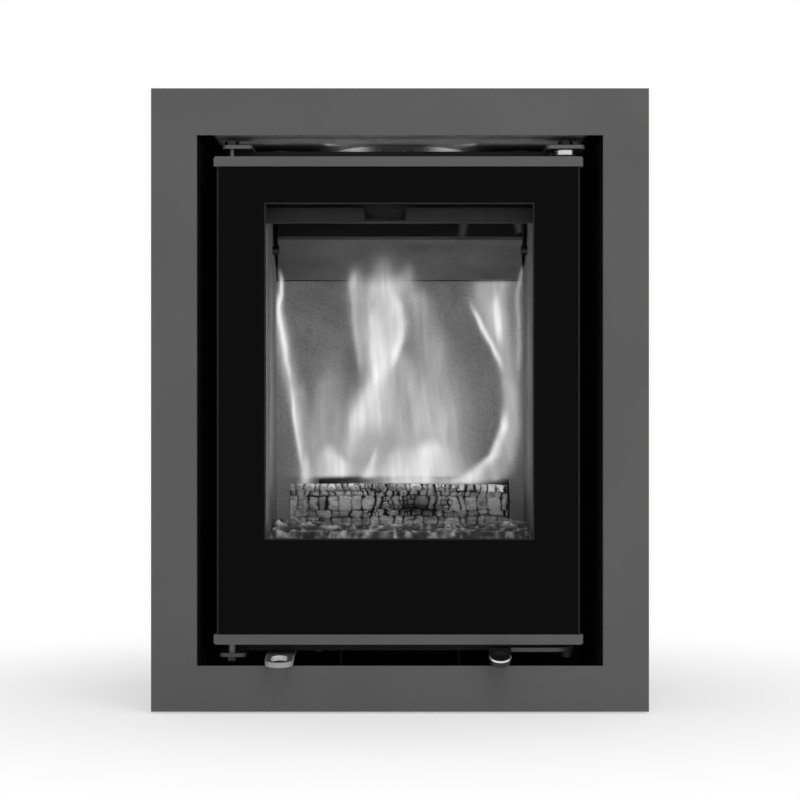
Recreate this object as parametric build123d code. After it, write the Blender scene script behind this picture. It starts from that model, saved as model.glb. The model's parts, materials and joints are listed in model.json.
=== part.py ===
"""Inset fireplace: a steel cassette with a glazed door, a surround frame and a brick-lined firebox.

Millimetres. While the pieces are drawn, x runs from the frame's centreline to the right, y is the
depth behind the frame's front face and z the height above the hearth. On export everything moves
along y only, so that the origin lies on the hearth under the middle of the whole part.
"""
from build123d import *
from math import atan2, cos, degrees, hypot, radians, sin
import os

# ---- surround frame -------------------------------------------------------------------------
FRAME_W = 500.0            # overall width
FRAME_H = 626.0            # overall height
FRAME_SIDE = 46.0          # width of each side border
FRAME_TOP = 47.0           # width of the top border
FRAME_BOTTOM = 46.0        # width of the bottom border
FRAME_SHEET = 3.0          # sheet thickness
FRAME_DEPTH = 12.0         # front face to wall
FRAME_LIFT = 2.0           # gap between the frame and the hearth
MAGNET_R = 10.0
MAGNET_INSET_Z = 60.0      # magnets, measured from the frame's top and bottom edges

# ---- outer casing ---------------------------------------------------------------------------
CASE_SHEET = 2.0
CASE_REVEAL = 1.0          # casing wall set back behind the frame's inner edge
CASE_DEPTH = 343.0         # rear face of the casing
CASE_LIFT = 6.0            # underside above the hearth
FLANGE_W = 25.0            # wall flange around the casing
FLANGE_FOOT_Z = 20.0       # lower end of the flange legs
WALL_HOLE_R = 3.25
WALL_HOLE_OUT = 13.0       # wall holes, outwards from the casing
WALL_HOLE_UP = 100.0       # lower pair above the flange's foot
WALL_HOLE_DOWN = 89.0      # upper pair below the flange's top
CAP_R = 19.0
CAP_HOLE_R = 17.0
CAP_INSET = 77.0           # casing wall to cap centre
CAP_BACK = 5.0             # behind the flue's centre
CAP_T = 1.5
FOOT_INSET = 25.0          # casing wall to foot centre
FOOT_FRONT_Y = 40.0
FOOT_REAR = 33.0           # foot centre to the casing's rear face
FOOT_R = 14.0
FOOT_PAD_T = 4.0
FOOT_STUD_R = 4.0
FOOT_STUD_UP = 9.0         # stud above the base panel
FOOT_NUT_R = 9.0           # across corners of the nut under the base

# ---- door -----------------------------------------------------------------------------------
DOOR_GAP_LEFT = 16.3       # frame edge to door edge
DOOR_GAP_RIGHT = 19.6
DOOR_GAP_Z = 20.5
DOOR_RECESS = 9.0          # door face behind the frame's face
STRIP_H = 10.0
STRIP_DEPTH = 17.0
STRIP_CORNER = 2.5
STRIP_LIP = 3.0            # lip of the strip in front of the glass
GLASS_T = 4.0
GLASS_SLACK = 0.3
GLASS_BITE = 5.0           # glass edge held inside each strip
GLASS_INSET = 3.0          # strip end to glass edge
DOOR_PLATE_T = 3.0
DOOR_PLATE_INSET_LEFT = 7.7
DOOR_PLATE_INSET_RIGHT = 6.4
DOOR_PLATE_INSET_Z = 1.5
WINDOW_LEFT = 52.3         # clear window, from the door's edges
WINDOW_RIGHT = 50.4
WINDOW_TOP = 47.8
WINDOW_BOTTOM = 106.8
WINDOW_COVER = 4.0         # inner frame set back behind the printed border
GLASS_SEAL_W = 10.0
GLASS_SEAL_EDGE = 12.5     # glass edge to the glass seal
ROPE_W = 12.0
ROPE_T = 12.7
ROPE_EDGE = 5.0            # firebox opening to the rope seal
SEAL_GAP = 0.3
SCREW_INSET = 64.4         # latch edge to the outer screws
SCREW_R = 1.5
SCREW_HEAD_R = 4.0         # across corners
SCREW_HEAD_T = 2.0
SCREW_EDGE = 5.5           # strip edge to screw centre

# ---- hinges ---------------------------------------------------------------------------------
HINGE_INSET = 17.7         # door edge to pin centre
HINGE_Y = 21.0
HINGE_GAP_TOP = 8.0        # door to the firebox top
HINGE_GAP_BOTTOM = 9.0
HINGE_PIN_R = 2.5
HINGE_PIN_BITE = 8.0
HINGE_SHANK_R = 4.0
RUN_GAP = 0.05             # radial running clearance
ARM_T = 3.5                # hinge plates and roller bracket
ARM_FRONT = 11.0           # pin centre to the plate's front edge
ARM_CLEAR = 1.0            # plates to the air shutter, pulled right out
UPPER_ARM_OUT = 9.0        # from the pin's centre to the plate's sides
UPPER_ARM_IN = 21.0
LOWER_ARM_OUT = 12.5
LOWER_ARM_IN = 14.5
ARM_CORNER = 6.0
BOLT_R = 3.0
BOLT_HEAD_R = 5.8
BOLT_HEAD_T = 4.0
BOLT_BACK = 7.0            # first bolt behind the firebox front
BOLT_PITCH = 12.4
HINGE_BOLT_IN = 9.5        # pin centre to bolt centre
BRACKET_BOLT_IN = 10.4

# ---- guide roller ---------------------------------------------------------------------------
ROLLER_INSET = 17.0        # door edge to roller centre
ROLLER_Y = 21.0
ROLLER_R = 11.0
ROLLER_T = 6.9
ROLLER_RIM = 1.2
ROLLER_SEAT_R = 6.5
ROLLER_SEAT_T = 2.4
ROLLER_BOLT_R = 4.0
ROLLER_BOLT_HEAD_R = 6.2
ROLLER_BOLT_HEAD_T = 2.0
BRACKET_IN = 19.6          # from the roller's centre to the bracket's sides
BRACKET_OUT = 19.0
BRACKET_FRONT = 13.0
NUT_R = 7.5                # across corners of an M8 nut
NUT_T = 4.5
DOME_R = 5.6
DOME_H = 3.6
LUG_W = 4.3
LUG_GAP = 0.6              # lug beside the roller
LUG_T = 4.0
LUG_BELOW = 19.5           # lug's lower end below the door's top
LUG_ABOVE = 5.5

# ---- door latch -----------------------------------------------------------------------------
LATCH_INSET = 15.4         # door edge to spindle centre
LATCH_Y = 34.5
SPINDLE_R = 4.0
LEVER_T = 4.0
LEVER_DROP = 3.3           # door to lever
LEVER_W = 11.0
LEVER_BEND_R = 19.5
LEVER_HUB_R = 7.0
HANDLE_ALONG = 68.9        # spindle to handle centre
HANDLE_W = 22.4
HANDLE_REACH = 28.0        # tip in front of the frame's face
HANDLE_KNEE = 5.0          # bend in front of the frame's face
HANDLE_FALL = 10.6         # drop from bend to tip
HANDLE_T = 5.5
THUMB_R = 34.0             # radius of the hollow for the thumb
THUMB_DEPTH = 1.2
HOOK_T = 3.5
HOOK_GAP = 0.5             # firebox underside to hook
HOOK_IN_R = 28.2
HOOK_OUT_R = 35.0
HOOK_TIP_DEG = 13.1        # angles to the left of straight back
HOOK_ROOT_DEG = 26.0
HOOK_HEEL_DEG = 38.0
HOOK_HUB_R = 6.5
KEEPER_R = 4.0
KEEPER_Y = 58.0
KEEPER_DROP = 6.5
BEARING_W = 17.0
BEARING_DEPTH = 11.6
BEARING_H = 32.0
BEARING_LIFT = 11.5        # above the door's bottom edge
SHOULDER_R = 5.0

# ---- firebox --------------------------------------------------------------------------------
BOX_SIDE_GAP = 38.0        # casing to firebox, at the sides
BOX_REAR_GAP = 16.0        # and at the back
BOX_SHEET = 4.0
BOX_FRONT_T = 3.0
MOUTH_SIDE = 28.0          # firebox side to mouth
MOUTH_LOW = 100.5          # door's bottom edge to the mouth
MOUTH_HIGH = 37.5          # door's top edge to the mouth
HEARTH_DROP = 25.0         # hearth plate's underside below the mouth
BRICK_T = 25.0
BRICK_JOINT = 1.0
BRICK_CHAMFER = 2.0
SIDE_BRICK_Y0 = 72.0
SIDE_BRICK_HEAD = 52.5     # side bricks to the firebox ceiling
BACK_BRICK_GAP = 6.0       # behind the back brick
SEAM_DROP = 64.0           # side bricks' top to where the baffle meets the back brick
BAFFLE_RUN = 100.0         # from the seam to the baffle's lower front edge
BAFFLE_RISE = 40.0
BAFFLE_T = 25.0
BAFFLE_SLACK = 0.5         # beside the baffle, at the back
BAFFLE_FRONT_SLACK = 6.0   # and at the front
BAFFLE_TRIM = 1.0          # rear edge to the firebox's back
PEG_R = 5.0
PEG_BACK = 15.0            # peg behind the baffle's front edge
PEG_PROUD = 7.0
UPPER_BAFFLE_SLACK = 5.0   # beside the deflector
UPPER_BAFFLE_REAR = 70.0   # smoke way behind the deflector
UPPER_BAFFLE_T = 4.0
UPPER_BAFFLE_H = 24.0
AIRWASH_SHEET = 2.0
AIRWASH_Y0 = 52.0
AIRWASH_Y1 = 70.0
AIRWASH_H = 67.5
AIRWASH_LIP = 15.0
NOTCH_X0 = -36.6
NOTCH_W = 42.7
RISER_W = 22.0
RISER_Y0 = 47.0
RISER_WALL = 1.5
RAIL_CLEAR = 7.0           # left rail to the shutter's guide
RAIL_W = 15.0
RAIL_SHEET = 2.0
RAIL_Y0 = 60.0
RAIL_REAR = 5.0            # rail end to the firebox's rear face

# ---- flue and rear air inlet ------------------------------------------------------------------
FLUE_BACK = 138.0          # flue centre to the firebox's rear face
FLUE_BORE_R = 64.0
FLUE_WALL = 3.0
FLUE_SEAT = 4.0            # ledge under the pipe's end
FLUE_H = 48.0
FLUE_FLANGE_R = 82.0
FLUE_FLANGE_T = 4.0
FLUE_BOLT_PCD = 152.0
FLUE_CLEAR = 1.0           # collar to casing top
INLET_R = 40.0
INLET_WALL = 2.0
INLET_OUT = 25.0           # beyond the casing's back
INLET_FLANGE_R = 50.0
INLET_FLANGE_T = 2.0

# ---- air control ------------------------------------------------------------------------------
TAB_INSET = 66.7           # door edge to tab centre
TAB_W = 28.0
TAB_T = 5.0
TAB_REACH = 25.0           # tip in front of the frame's face
TAB_BEND_Y = 22.0
TAB_FALL = 5.4
TAB_SLOT_W = 15.5
TAB_SLOT_L = 29.0
TAB_SLOT_EDGE = 5.0
SHUTTER_GAP = 0.5          # under the firebox
SHUTTER_T = 3.0
SHUTTER_W = 73.4
SHUTTER_Y0 = 85.0
SHUTTER_L = 120.0
PORT_W = 60.0
PORT_L = 26.0
PORT_Y = (115.0, 165.0)
PORT_OFFSET = 13.0         # shutter ports behind the firebox ports at rest
GUIDE_SHEET = 2.0
GUIDE_LIP = 3.5
GUIDE_GAP = 0.3
GUIDE_L = 130.0

# ---- logs and embers --------------------------------------------------------------------------
EMBER_T = 8.0
EMBER_SLACK = 2.0          # ash bed to the bricks
EMBER_Y0 = 50.0
MOUND_Y0 = 54.0
MOUND_Y1 = 114.0
MOUND_H = 11.0
FRONT_LOG_LEFT = 22.0      # brick to log end
FRONT_LOG_RIGHT = 25.0
FRONT_LOG_Y = 150.0
FRONT_LOG_D = 56.0
FRONT_LOG_H = 48.0
REAR_LOG_LEFT = 50.0
REAR_LOG_RIGHT = 20.0
REAR_LOG_Y = 222.0
REAR_LOG_D = 48.0
REAR_LOG_H = 54.0

# ---- worked out from the above ------------------------------------------------------------------
OPEN_X = FRAME_W / 2 - FRAME_SIDE
OPEN_Z0 = FRAME_LIFT + FRAME_BOTTOM
FRAME_Z1 = FRAME_LIFT + FRAME_H
OPEN_Z1 = FRAME_Z1 - FRAME_TOP
CASE_X = OPEN_X + CASE_REVEAL
CASE_OUT_X = CASE_X + CASE_SHEET
CASE_TOP = OPEN_Z1 + CASE_REVEAL
CASE_FLOOR = CASE_LIFT + CASE_SHEET
CASE_BACK_Y = CASE_DEPTH - CASE_SHEET
FLANGE_TOP = CASE_TOP + CASE_SHEET + FLANGE_W
WALL_HOLE_X = CASE_OUT_X + WALL_HOLE_OUT
WALL_HOLE_Z = (FLANGE_FOOT_Z + WALL_HOLE_UP, FLANGE_TOP - WALL_HOLE_DOWN)
FOOT_X = CASE_X - FOOT_INSET
FOOT_Y = (FOOT_FRONT_Y, CASE_DEPTH - FOOT_REAR)
CAP_X = CASE_X - CAP_INSET
DOOR_X0 = -OPEN_X + DOOR_GAP_LEFT
DOOR_X1 = OPEN_X - DOOR_GAP_RIGHT
DOOR_Z0 = OPEN_Z0 + DOOR_GAP_Z
DOOR_Z1 = OPEN_Z1 - DOOR_GAP_Z
STRIP_Y1 = DOOR_RECESS + STRIP_DEPTH
GLASS_Y0 = DOOR_RECESS + STRIP_LIP
GLASS_Y1 = GLASS_Y0 + GLASS_T
GLASS_X0 = DOOR_X0 + GLASS_INSET
GLASS_X1 = DOOR_X1 - GLASS_INSET
GLASS_Z0 = DOOR_Z0 + STRIP_H - GLASS_BITE
GLASS_Z1 = DOOR_Z1 - STRIP_H + GLASS_BITE
DOOR_PLATE_Y1 = STRIP_Y1 + DOOR_PLATE_T
SCREW_X = DOOR_X1 - SCREW_INSET
HINGE_X = DOOR_X0 + HINGE_INSET
HINGE_BOLT_X = HINGE_X + HINGE_BOLT_IN
ROLLER_X = DOOR_X1 - ROLLER_INSET
BRACKET_BOLT_X = ROLLER_X - BRACKET_BOLT_IN
LATCH_X = DOOR_X1 - LATCH_INSET
HANDLE_X = LATCH_X - HANDLE_ALONG
TAB_X = DOOR_X0 + TAB_INSET
ARM_REAR_Y = SHUTTER_Y0 - PORT_OFFSET - ARM_CLEAR
BOX_Y0 = DOOR_PLATE_Y1 + ROPE_T + SEAL_GAP
BOX_Y1 = BOX_Y0 + BOX_FRONT_T
BOX_Z0 = DOOR_Z0 - HINGE_GAP_BOTTOM
BOX_Z1 = DOOR_Z1 + HINGE_GAP_TOP
BOX_FLOOR = BOX_Z0 + BOX_SHEET
BOX_CEILING = BOX_Z1 - BOX_SHEET
BOX_X = CASE_X - BOX_SIDE_GAP
BOX_DEPTH = CASE_BACK_Y - BOX_REAR_GAP
BOLT_Y = (BOX_Y1 + BOLT_BACK, BOX_Y1 + BOLT_BACK + BOLT_PITCH)
MOUTH_X = BOX_X - MOUTH_SIDE
MOUTH_Z0 = DOOR_Z0 + MOUTH_LOW
MOUTH_Z1 = DOOR_Z1 - MOUTH_HIGH
BOX_IN_X = BOX_X - BOX_SHEET
BOX_IN_Y = BOX_DEPTH - BOX_SHEET
LINING_X = BOX_IN_X - BRICK_T
HEARTH_Z = MOUTH_Z0 - HEARTH_DROP
HEARTH_TOP = HEARTH_Z + BOX_SHEET
FLOOR_TOP = HEARTH_TOP + BRICK_T
INLET_Z = (BOX_FLOOR + HEARTH_Z) / 2
SIDE_BRICK_TOP = BOX_CEILING - SIDE_BRICK_HEAD
BACK_BRICK_Y1 = BOX_IN_Y - BACK_BRICK_GAP
BACK_BRICK_Y = BACK_BRICK_Y1 - BRICK_T
SEAM_Z = SIDE_BRICK_TOP - SEAM_DROP
BAFFLE_SLOPE = BAFFLE_RISE / BAFFLE_RUN
BAFFLE_Y = BACK_BRICK_Y - BAFFLE_RUN
BAFFLE_Z = SEAM_Z + BAFFLE_RISE
BAFFLE_REAR_Z = SEAM_Z - BRICK_T * BAFFLE_SLOPE
BAFFLE_L = hypot(BACK_BRICK_Y1 - BAFFLE_Y, BAFFLE_Z - BAFFLE_REAR_Z)
UPPER_BAFFLE_X = BOX_IN_X - UPPER_BAFFLE_SLACK
UPPER_BAFFLE_Y1 = BOX_DEPTH - UPPER_BAFFLE_REAR
AIRWASH_Z0 = BOX_CEILING - AIRWASH_H
FLUE_Y = BOX_DEPTH - FLUE_BACK
CAP_Y = FLUE_Y + CAP_BACK
RAIL_Y1 = BOX_DEPTH - RAIL_REAR
RAIL_X = -TAB_X - SHUTTER_W / 2 - GUIDE_GAP - GUIDE_SHEET - RAIL_CLEAR - RAIL_W
EMBER_X = LINING_X - EMBER_SLACK
EMBER_Y1 = BACK_BRICK_Y - EMBER_SLACK
LEVER_Z1 = DOOR_Z0 - LEVER_DROP
LEVER_Z0 = LEVER_Z1 - LEVER_T
HOOK_Z1 = BOX_Z0 - HOOK_GAP
HOOK_Z0 = HOOK_Z1 - HOOK_T
SHUTTER_Z1 = BOX_Z0 - SHUTTER_GAP
SHUTTER_Z0 = SHUTTER_Z1 - SHUTTER_T
EMBER_TOP = FLOOR_TOP + EMBER_T
MID_DEPTH = (CASE_DEPTH + INLET_OUT - HANDLE_REACH) / 2


def block(x0, x1, y0, y1, z0, z1):
    """A box between two corners."""
    return Pos((x0 + x1) / 2, (y0 + y1) / 2, (z0 + z1) / 2) * Box(x1 - x0, y1 - y0, z1 - z0)


def rod(x, y, r, z0, z1):
    """An upright round bar."""
    return Pos(x, y, (z0 + z1) / 2) * Cylinder(r, z1 - z0)


def hexagon(x, y, r, z0, z1):
    """An upright hexagonal bar, r across its corners."""
    return Pos(x, y, z0) * extrude(RegularPolygon(r, 6), z1 - z0)


def rod_y(x, z, r, y0, y1):
    """A round bar that runs front to back."""
    return Pos(x, (y0 + y1) / 2, z) * Rot(90, 0, 0) * Cylinder(r, y1 - y0)


def rod_x(y, z, r, x0, x1):
    """A round bar that runs left to right."""
    return Pos((x0 + x1) / 2, y, z) * Rot(0, 90, 0) * Cylinder(r, x1 - x0)


def rect(x0, x1, z0, z1):
    """A rectangle between two corners, for any of the sheets below."""
    return Pos((x0 + x1) / 2, (z0 + z1) / 2) * Rectangle(x1 - x0, z1 - z0)


def front_sheet(sketch, y0, y1):
    """A sketch in x and z, made thick from depth y0 to y1."""
    plane = Plane(origin=(0, y1, 0), x_dir=(1, 0, 0), z_dir=(0, -1, 0))
    return extrude(plane * sketch, y1 - y0)


def plan_sheet(sketch, z0, z1):
    """A sketch in x and y, made thick from height z0 to z1."""
    return extrude(Pos(0, 0, z0) * sketch, z1 - z0)


def side_profile(points, x0, x1):
    """A polygon in depth and height, carried from x0 to x1."""
    plane = Plane(origin=(x0, 0, 0), x_dir=(0, 1, 0), z_dir=(1, 0, 0))
    return extrude(plane * make_face(Polyline(*points, close=True)), x1 - x0)


def ring(x0, x1, z0, z1, width):
    """A rectangular ring sketch, width wide inwards from the outer corners."""
    return rect(x0, x1, z0, z1) - rect(x0 + width, x1 - width, z0 + width, z1 - width)


def group(pieces):
    """Separate solids in one node."""
    return Part() + pieces


# ---- surround and casing ------------------------------------------------------------------------
def surround_frame():
    """Flat front with a folded rim back to the wall."""
    half = FRAME_W / 2
    outer = rect(-half, half, FRAME_LIFT, FRAME_Z1)
    face = front_sheet(outer - rect(-OPEN_X, OPEN_X, OPEN_Z0, OPEN_Z1), 0, FRAME_SHEET)
    rim = front_sheet(ring(-half, half, FRAME_LIFT, FRAME_Z1, FRAME_SHEET), FRAME_SHEET, FRAME_DEPTH)
    return face + rim


def magnet_places():
    return [(side * WALL_HOLE_X, z) for side in (-1, 1)
            for z in (FRAME_LIFT + MAGNET_INSET_Z, FRAME_Z1 - MAGNET_INSET_Z)]


def frame_magnets():
    """Round magnets between the frame's face and the wall flange."""
    return group([rod_y(x, z, MAGNET_R, FRAME_SHEET, FRAME_DEPTH - CASE_SHEET)
                  for x, z in magnet_places()])


def mounting_flange():
    """Flange on three sides of the casing, with four holes for the wall screws."""
    out = CASE_OUT_X + FLANGE_W
    top = CASE_TOP + CASE_SHEET
    sketch = rect(-out, out, FLANGE_FOOT_Z, FLANGE_TOP)
    sketch -= rect(-CASE_OUT_X, CASE_OUT_X, FLANGE_FOOT_Z - 1, top)
    for side in (-1, 1):
        for z in WALL_HOLE_Z:
            sketch -= Pos(side * WALL_HOLE_X, z) * Circle(WALL_HOLE_R)
    return front_sheet(sketch, FRAME_DEPTH - CASE_SHEET, FRAME_DEPTH)


def casing_side(side):
    x0, x1 = sorted((side * CASE_X, side * CASE_OUT_X))
    return block(x0, x1, FRAME_SHEET, CASE_DEPTH, CASE_FLOOR, CASE_TOP)


def casing_top():
    """Top panel with the flue opening and two capped holes."""
    panel = block(-CASE_OUT_X, CASE_OUT_X, FRAME_SHEET, CASE_DEPTH, CASE_TOP, CASE_TOP + CASE_SHEET)
    flue_r = FLUE_BORE_R + FLUE_WALL + FLUE_CLEAR
    panel -= rod(0, FLUE_Y, flue_r, CASE_TOP, CASE_TOP + CASE_SHEET)
    for side in (-1, 1):
        panel -= rod(side * CAP_X, CAP_Y, CAP_HOLE_R, CASE_TOP, CASE_TOP + CASE_SHEET)
    return panel


def top_caps():
    """Pressed caps that close the two holes in the casing's top from below."""
    caps = []
    for side in (-1, 1):
        disc = rod(side * CAP_X, CAP_Y, CAP_R, CASE_TOP - CAP_T, CASE_TOP)
        plug = rod(side * CAP_X, CAP_Y, CAP_HOLE_R, CASE_TOP, CASE_TOP + CASE_SHEET)
        caps.append(disc + plug)
    return group(caps)


def foot_places():
    return [(side * FOOT_X, y) for side in (-1, 1) for y in FOOT_Y]


def casing_base():
    """Bottom panel on the levelling feet."""
    panel = block(-CASE_OUT_X, CASE_OUT_X, FRAME_SHEET, CASE_DEPTH, CASE_LIFT, CASE_FLOOR)
    for x, y in foot_places():
        panel -= rod(x, y, FOOT_STUD_R, CASE_LIFT, CASE_FLOOR)
    return panel


def levelling_feet():
    """Screwed feet: a pad, a nut under the base and one above it."""
    feet = []
    for x, y in foot_places():
        foot = rod(x, y, FOOT_R, 0, FOOT_PAD_T)
        foot += hexagon(x, y, FOOT_NUT_R, FOOT_PAD_T, CASE_LIFT)
        foot += rod(x, y, FOOT_STUD_R, CASE_LIFT, CASE_FLOOR + FOOT_STUD_UP)
        foot += hexagon(x, y, NUT_R, CASE_FLOOR, CASE_FLOOR + NUT_T)
        feet.append(foot)
    return group(feet)


def casing_back():
    """Back panel with the opening for the air inlet."""
    panel = block(-CASE_X, CASE_X, CASE_BACK_Y, CASE_DEPTH, CASE_FLOOR, CASE_TOP)
    return panel - rod_y(0, INLET_Z, INLET_R + FLUE_CLEAR, CASE_BACK_Y, CASE_DEPTH)


# ---- firebox shell --------------------------------------------------------------------------------
def firebox_front():
    """Front plate with the mouth that the door closes."""
    sketch = rect(-BOX_X, BOX_X, BOX_Z0, BOX_Z1) - rect(-MOUTH_X, MOUTH_X, MOUTH_Z0, MOUTH_Z1)
    return front_sheet(sketch, BOX_Y0, BOX_Y1)


def firebox_side(side):
    x0, x1 = sorted((side * BOX_IN_X, side * BOX_X))
    return block(x0, x1, BOX_Y1, BOX_IN_Y, BOX_FLOOR, BOX_CEILING)


def firebox_back():
    """Back plate with the air inlet's hole."""
    panel = block(-BOX_X, BOX_X, BOX_IN_Y, BOX_DEPTH, BOX_FLOOR, BOX_CEILING)
    return panel - rod_y(0, INLET_Z, INLET_R - INLET_WALL, BOX_IN_Y, BOX_DEPTH)


def flue_bolt_places():
    half = FLUE_BOLT_PCD / 2
    return [(half * cos(radians(a)), FLUE_Y + half * sin(radians(a))) for a in (45, 135, 225, 315)]


def top_bolt_places():
    return [(x, y) for x in (HINGE_BOLT_X, BRACKET_BOLT_X) for y in BOLT_Y]


def firebox_top():
    """Top plate with the flue outlet and its bolt holes."""
    panel = block(-BOX_X, BOX_X, BOX_Y1, BOX_DEPTH, BOX_CEILING, BOX_Z1)
    panel -= rod(0, FLUE_Y, FLUE_BORE_R - FLUE_SEAT, BOX_CEILING, BOX_Z1)
    for x, y in flue_bolt_places() + top_bolt_places():
        panel -= rod(x, y, BOLT_R, BOX_CEILING, BOX_Z1)
    return panel


def firebox_bottom():
    """Bottom plate with two air ports."""
    panel = block(-BOX_X, BOX_X, BOX_Y1, BOX_DEPTH, BOX_Z0, BOX_FLOOR)
    for y in PORT_Y:
        panel -= port(y, BOX_Z0, BOX_FLOOR)
    for y in BOLT_Y:
        panel -= rod(HINGE_BOLT_X, y, BOLT_R, BOX_Z0, BOX_FLOOR)
    return panel


def port(y, z0, z1):
    return block(TAB_X - PORT_W / 2, TAB_X + PORT_W / 2, y - PORT_L / 2, y + PORT_L / 2, z0, z1)


def support_rails():
    """Two channels that carry the firebox on the casing's base."""
    web = block(RAIL_X, RAIL_X + RAIL_SHEET, RAIL_Y0, RAIL_Y1, CASE_FLOOR, BOX_Z0)
    top = block(RAIL_X, RAIL_X + RAIL_W, RAIL_Y0, RAIL_Y1, BOX_Z0 - RAIL_SHEET, BOX_Z0)
    low = block(RAIL_X, RAIL_X + RAIL_W, RAIL_Y0, RAIL_Y1, CASE_FLOOR, CASE_FLOOR + RAIL_SHEET)
    rail = web + top + low
    return group([rail, mirror(rail, Plane.YZ)])


def flue_collar():
    """Socket for the flue pipe, on a bolted flange."""
    outer_r = FLUE_BORE_R + FLUE_WALL
    collar = rod(0, FLUE_Y, FLUE_FLANGE_R, BOX_Z1, BOX_Z1 + FLUE_FLANGE_T)
    collar += rod(0, FLUE_Y, outer_r, BOX_Z1, BOX_Z1 + FLUE_H)
    root = collar.edges().filter_by(GeomType.CIRCLE).filter_by(lambda e: abs(e.radius - outer_r) < 0.1)
    collar = chamfer(root.sort_by(Axis.Z)[0], FLUE_WALL)
    collar -= rod(0, FLUE_Y, FLUE_BORE_R, BOX_Z1, BOX_Z1 + FLUE_H)
    for x, y in flue_bolt_places():
        collar -= rod(x, y, BOLT_R, BOX_Z1, BOX_Z1 + FLUE_FLANGE_T)
    return collar


def bolt_down(x, y, seat, tip):
    """A hexagon bolt with its head on the seat and its shank down to the tip."""
    return hexagon(x, y, BOLT_HEAD_R, seat, seat + BOLT_HEAD_T) + rod(x, y, BOLT_R, tip, seat)


def collar_bolts():
    return group([bolt_down(x, y, BOX_Z1 + FLUE_FLANGE_T, BOX_CEILING) for x, y in flue_bolt_places()])


def air_inlet_spigot():
    """Spigot for an outside air duct, from the firebox back through the casing it is flanged to."""
    tube = rod_y(0, INLET_Z, INLET_R, BOX_DEPTH, CASE_DEPTH + INLET_OUT)
    tube += rod_y(0, INLET_Z, INLET_FLANGE_R, CASE_DEPTH, CASE_DEPTH + INLET_FLANGE_T)
    return tube - rod_y(0, INLET_Z, INLET_R - INLET_WALL, BOX_DEPTH, CASE_DEPTH + INLET_OUT)


# ---- hinges and roller ------------------------------------------------------------------------------
def arm_plate(x0, x1, y0, z0, pin_x, pin_y, bolt_x):
    """A flat arm that reaches forward from the firebox, with a pin hole and two bolt holes."""
    sketch = rect(x0, x1, y0, ARM_REAR_Y)
    sketch = fillet(sketch.vertices().group_by(Axis.Y)[0], ARM_CORNER)
    sketch -= Pos(pin_x, pin_y) * Circle(HINGE_SHANK_R)
    for y in BOLT_Y:
        sketch -= Pos(bolt_x, y) * Circle(BOLT_R)
    return plan_sheet(sketch, z0, z0 + ARM_T)


def upper_hinge_plate():
    return arm_plate(HINGE_X - UPPER_ARM_OUT, HINGE_X + UPPER_ARM_IN, HINGE_Y - ARM_FRONT, BOX_Z1,
                     HINGE_X, HINGE_Y, HINGE_BOLT_X)


def lower_hinge_plate():
    return arm_plate(HINGE_X - LOWER_ARM_OUT, HINGE_X + LOWER_ARM_IN, HINGE_Y - ARM_FRONT, BOX_Z0 - ARM_T,
                     HINGE_X, HINGE_Y, HINGE_BOLT_X)


def roller_bracket():
    return arm_plate(ROLLER_X - BRACKET_IN, ROLLER_X + BRACKET_OUT, ROLLER_Y - BRACKET_FRONT, BOX_Z1,
                     ROLLER_X, ROLLER_Y, BRACKET_BOLT_X)


def upper_hinge_pin():
    """Pin hung from the plate by its nut, down into the top strip."""
    seat = BOX_Z1 + ARM_T
    pin = rod(HINGE_X, HINGE_Y, HINGE_PIN_R, DOOR_Z1 - HINGE_PIN_BITE, BOX_Z1)
    pin += rod(HINGE_X, HINGE_Y, HINGE_SHANK_R, BOX_Z1, seat + NUT_T + 1)
    return pin + hexagon(HINGE_X, HINGE_Y, NUT_R, seat, seat + NUT_T)


def lower_hinge_pin():
    """Pin with a collar that the door stands on."""
    seat = BOX_Z0 - ARM_T
    pin = hexagon(HINGE_X, HINGE_Y, NUT_R, seat - NUT_T, seat)
    pin += rod(HINGE_X, HINGE_Y, HINGE_SHANK_R, seat, DOOR_Z0)
    return pin + rod(HINGE_X, HINGE_Y, HINGE_PIN_R, DOOR_Z0, DOOR_Z0 + HINGE_PIN_BITE)


def arm_bolts():
    """Bolts of both hinge plates and of the roller bracket."""
    top = [bolt_down(x, y, BOX_Z1 + ARM_T, BOX_CEILING) for x, y in top_bolt_places()]
    low = [mirror(bolt_down(HINGE_BOLT_X, y, ARM_T, -BOX_SHEET), Plane.XY) for y in BOLT_Y]
    return group(top + [Pos(0, 0, BOX_Z0) * bolt for bolt in low])


def roller_bolt():
    """Bolt under the bracket with a domed nut on top."""
    roller_z1 = BOX_Z1 - SEAL_GAP
    head_z = roller_z1 - ROLLER_T + SEAL_GAP
    seat = BOX_Z1 + ARM_T
    bolt = rod(ROLLER_X, ROLLER_Y, ROLLER_BOLT_HEAD_R, head_z, head_z + ROLLER_BOLT_HEAD_T)
    bolt += rod(ROLLER_X, ROLLER_Y, ROLLER_BOLT_R, head_z + ROLLER_BOLT_HEAD_T, seat)
    dome = rod(ROLLER_X, ROLLER_Y, DOME_R, seat + NUT_T, seat + NUT_T + DOME_H)
    dome = chamfer(dome.edges().sort_by(Axis.Z)[-1], DOME_H * 0.6)
    return bolt + hexagon(ROLLER_X, ROLLER_Y, NUT_R, seat, seat + NUT_T) + dome


def guide_roller():
    """Ball-bearing roller with rounded rims and a seat for the bolt's head."""
    z1 = BOX_Z1 - SEAL_GAP
    z0 = z1 - ROLLER_T
    body = rod(ROLLER_X, ROLLER_Y, ROLLER_R, z0, z1)
    body = chamfer(body.edges().filter_by(GeomType.CIRCLE), ROLLER_RIM)
    body -= rod(ROLLER_X, ROLLER_Y, ROLLER_BOLT_R + RUN_GAP, z0, z1)
    return body - rod(ROLLER_X, ROLLER_Y, ROLLER_SEAT_R, z0, z0 + ROLLER_SEAT_T)


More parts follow.
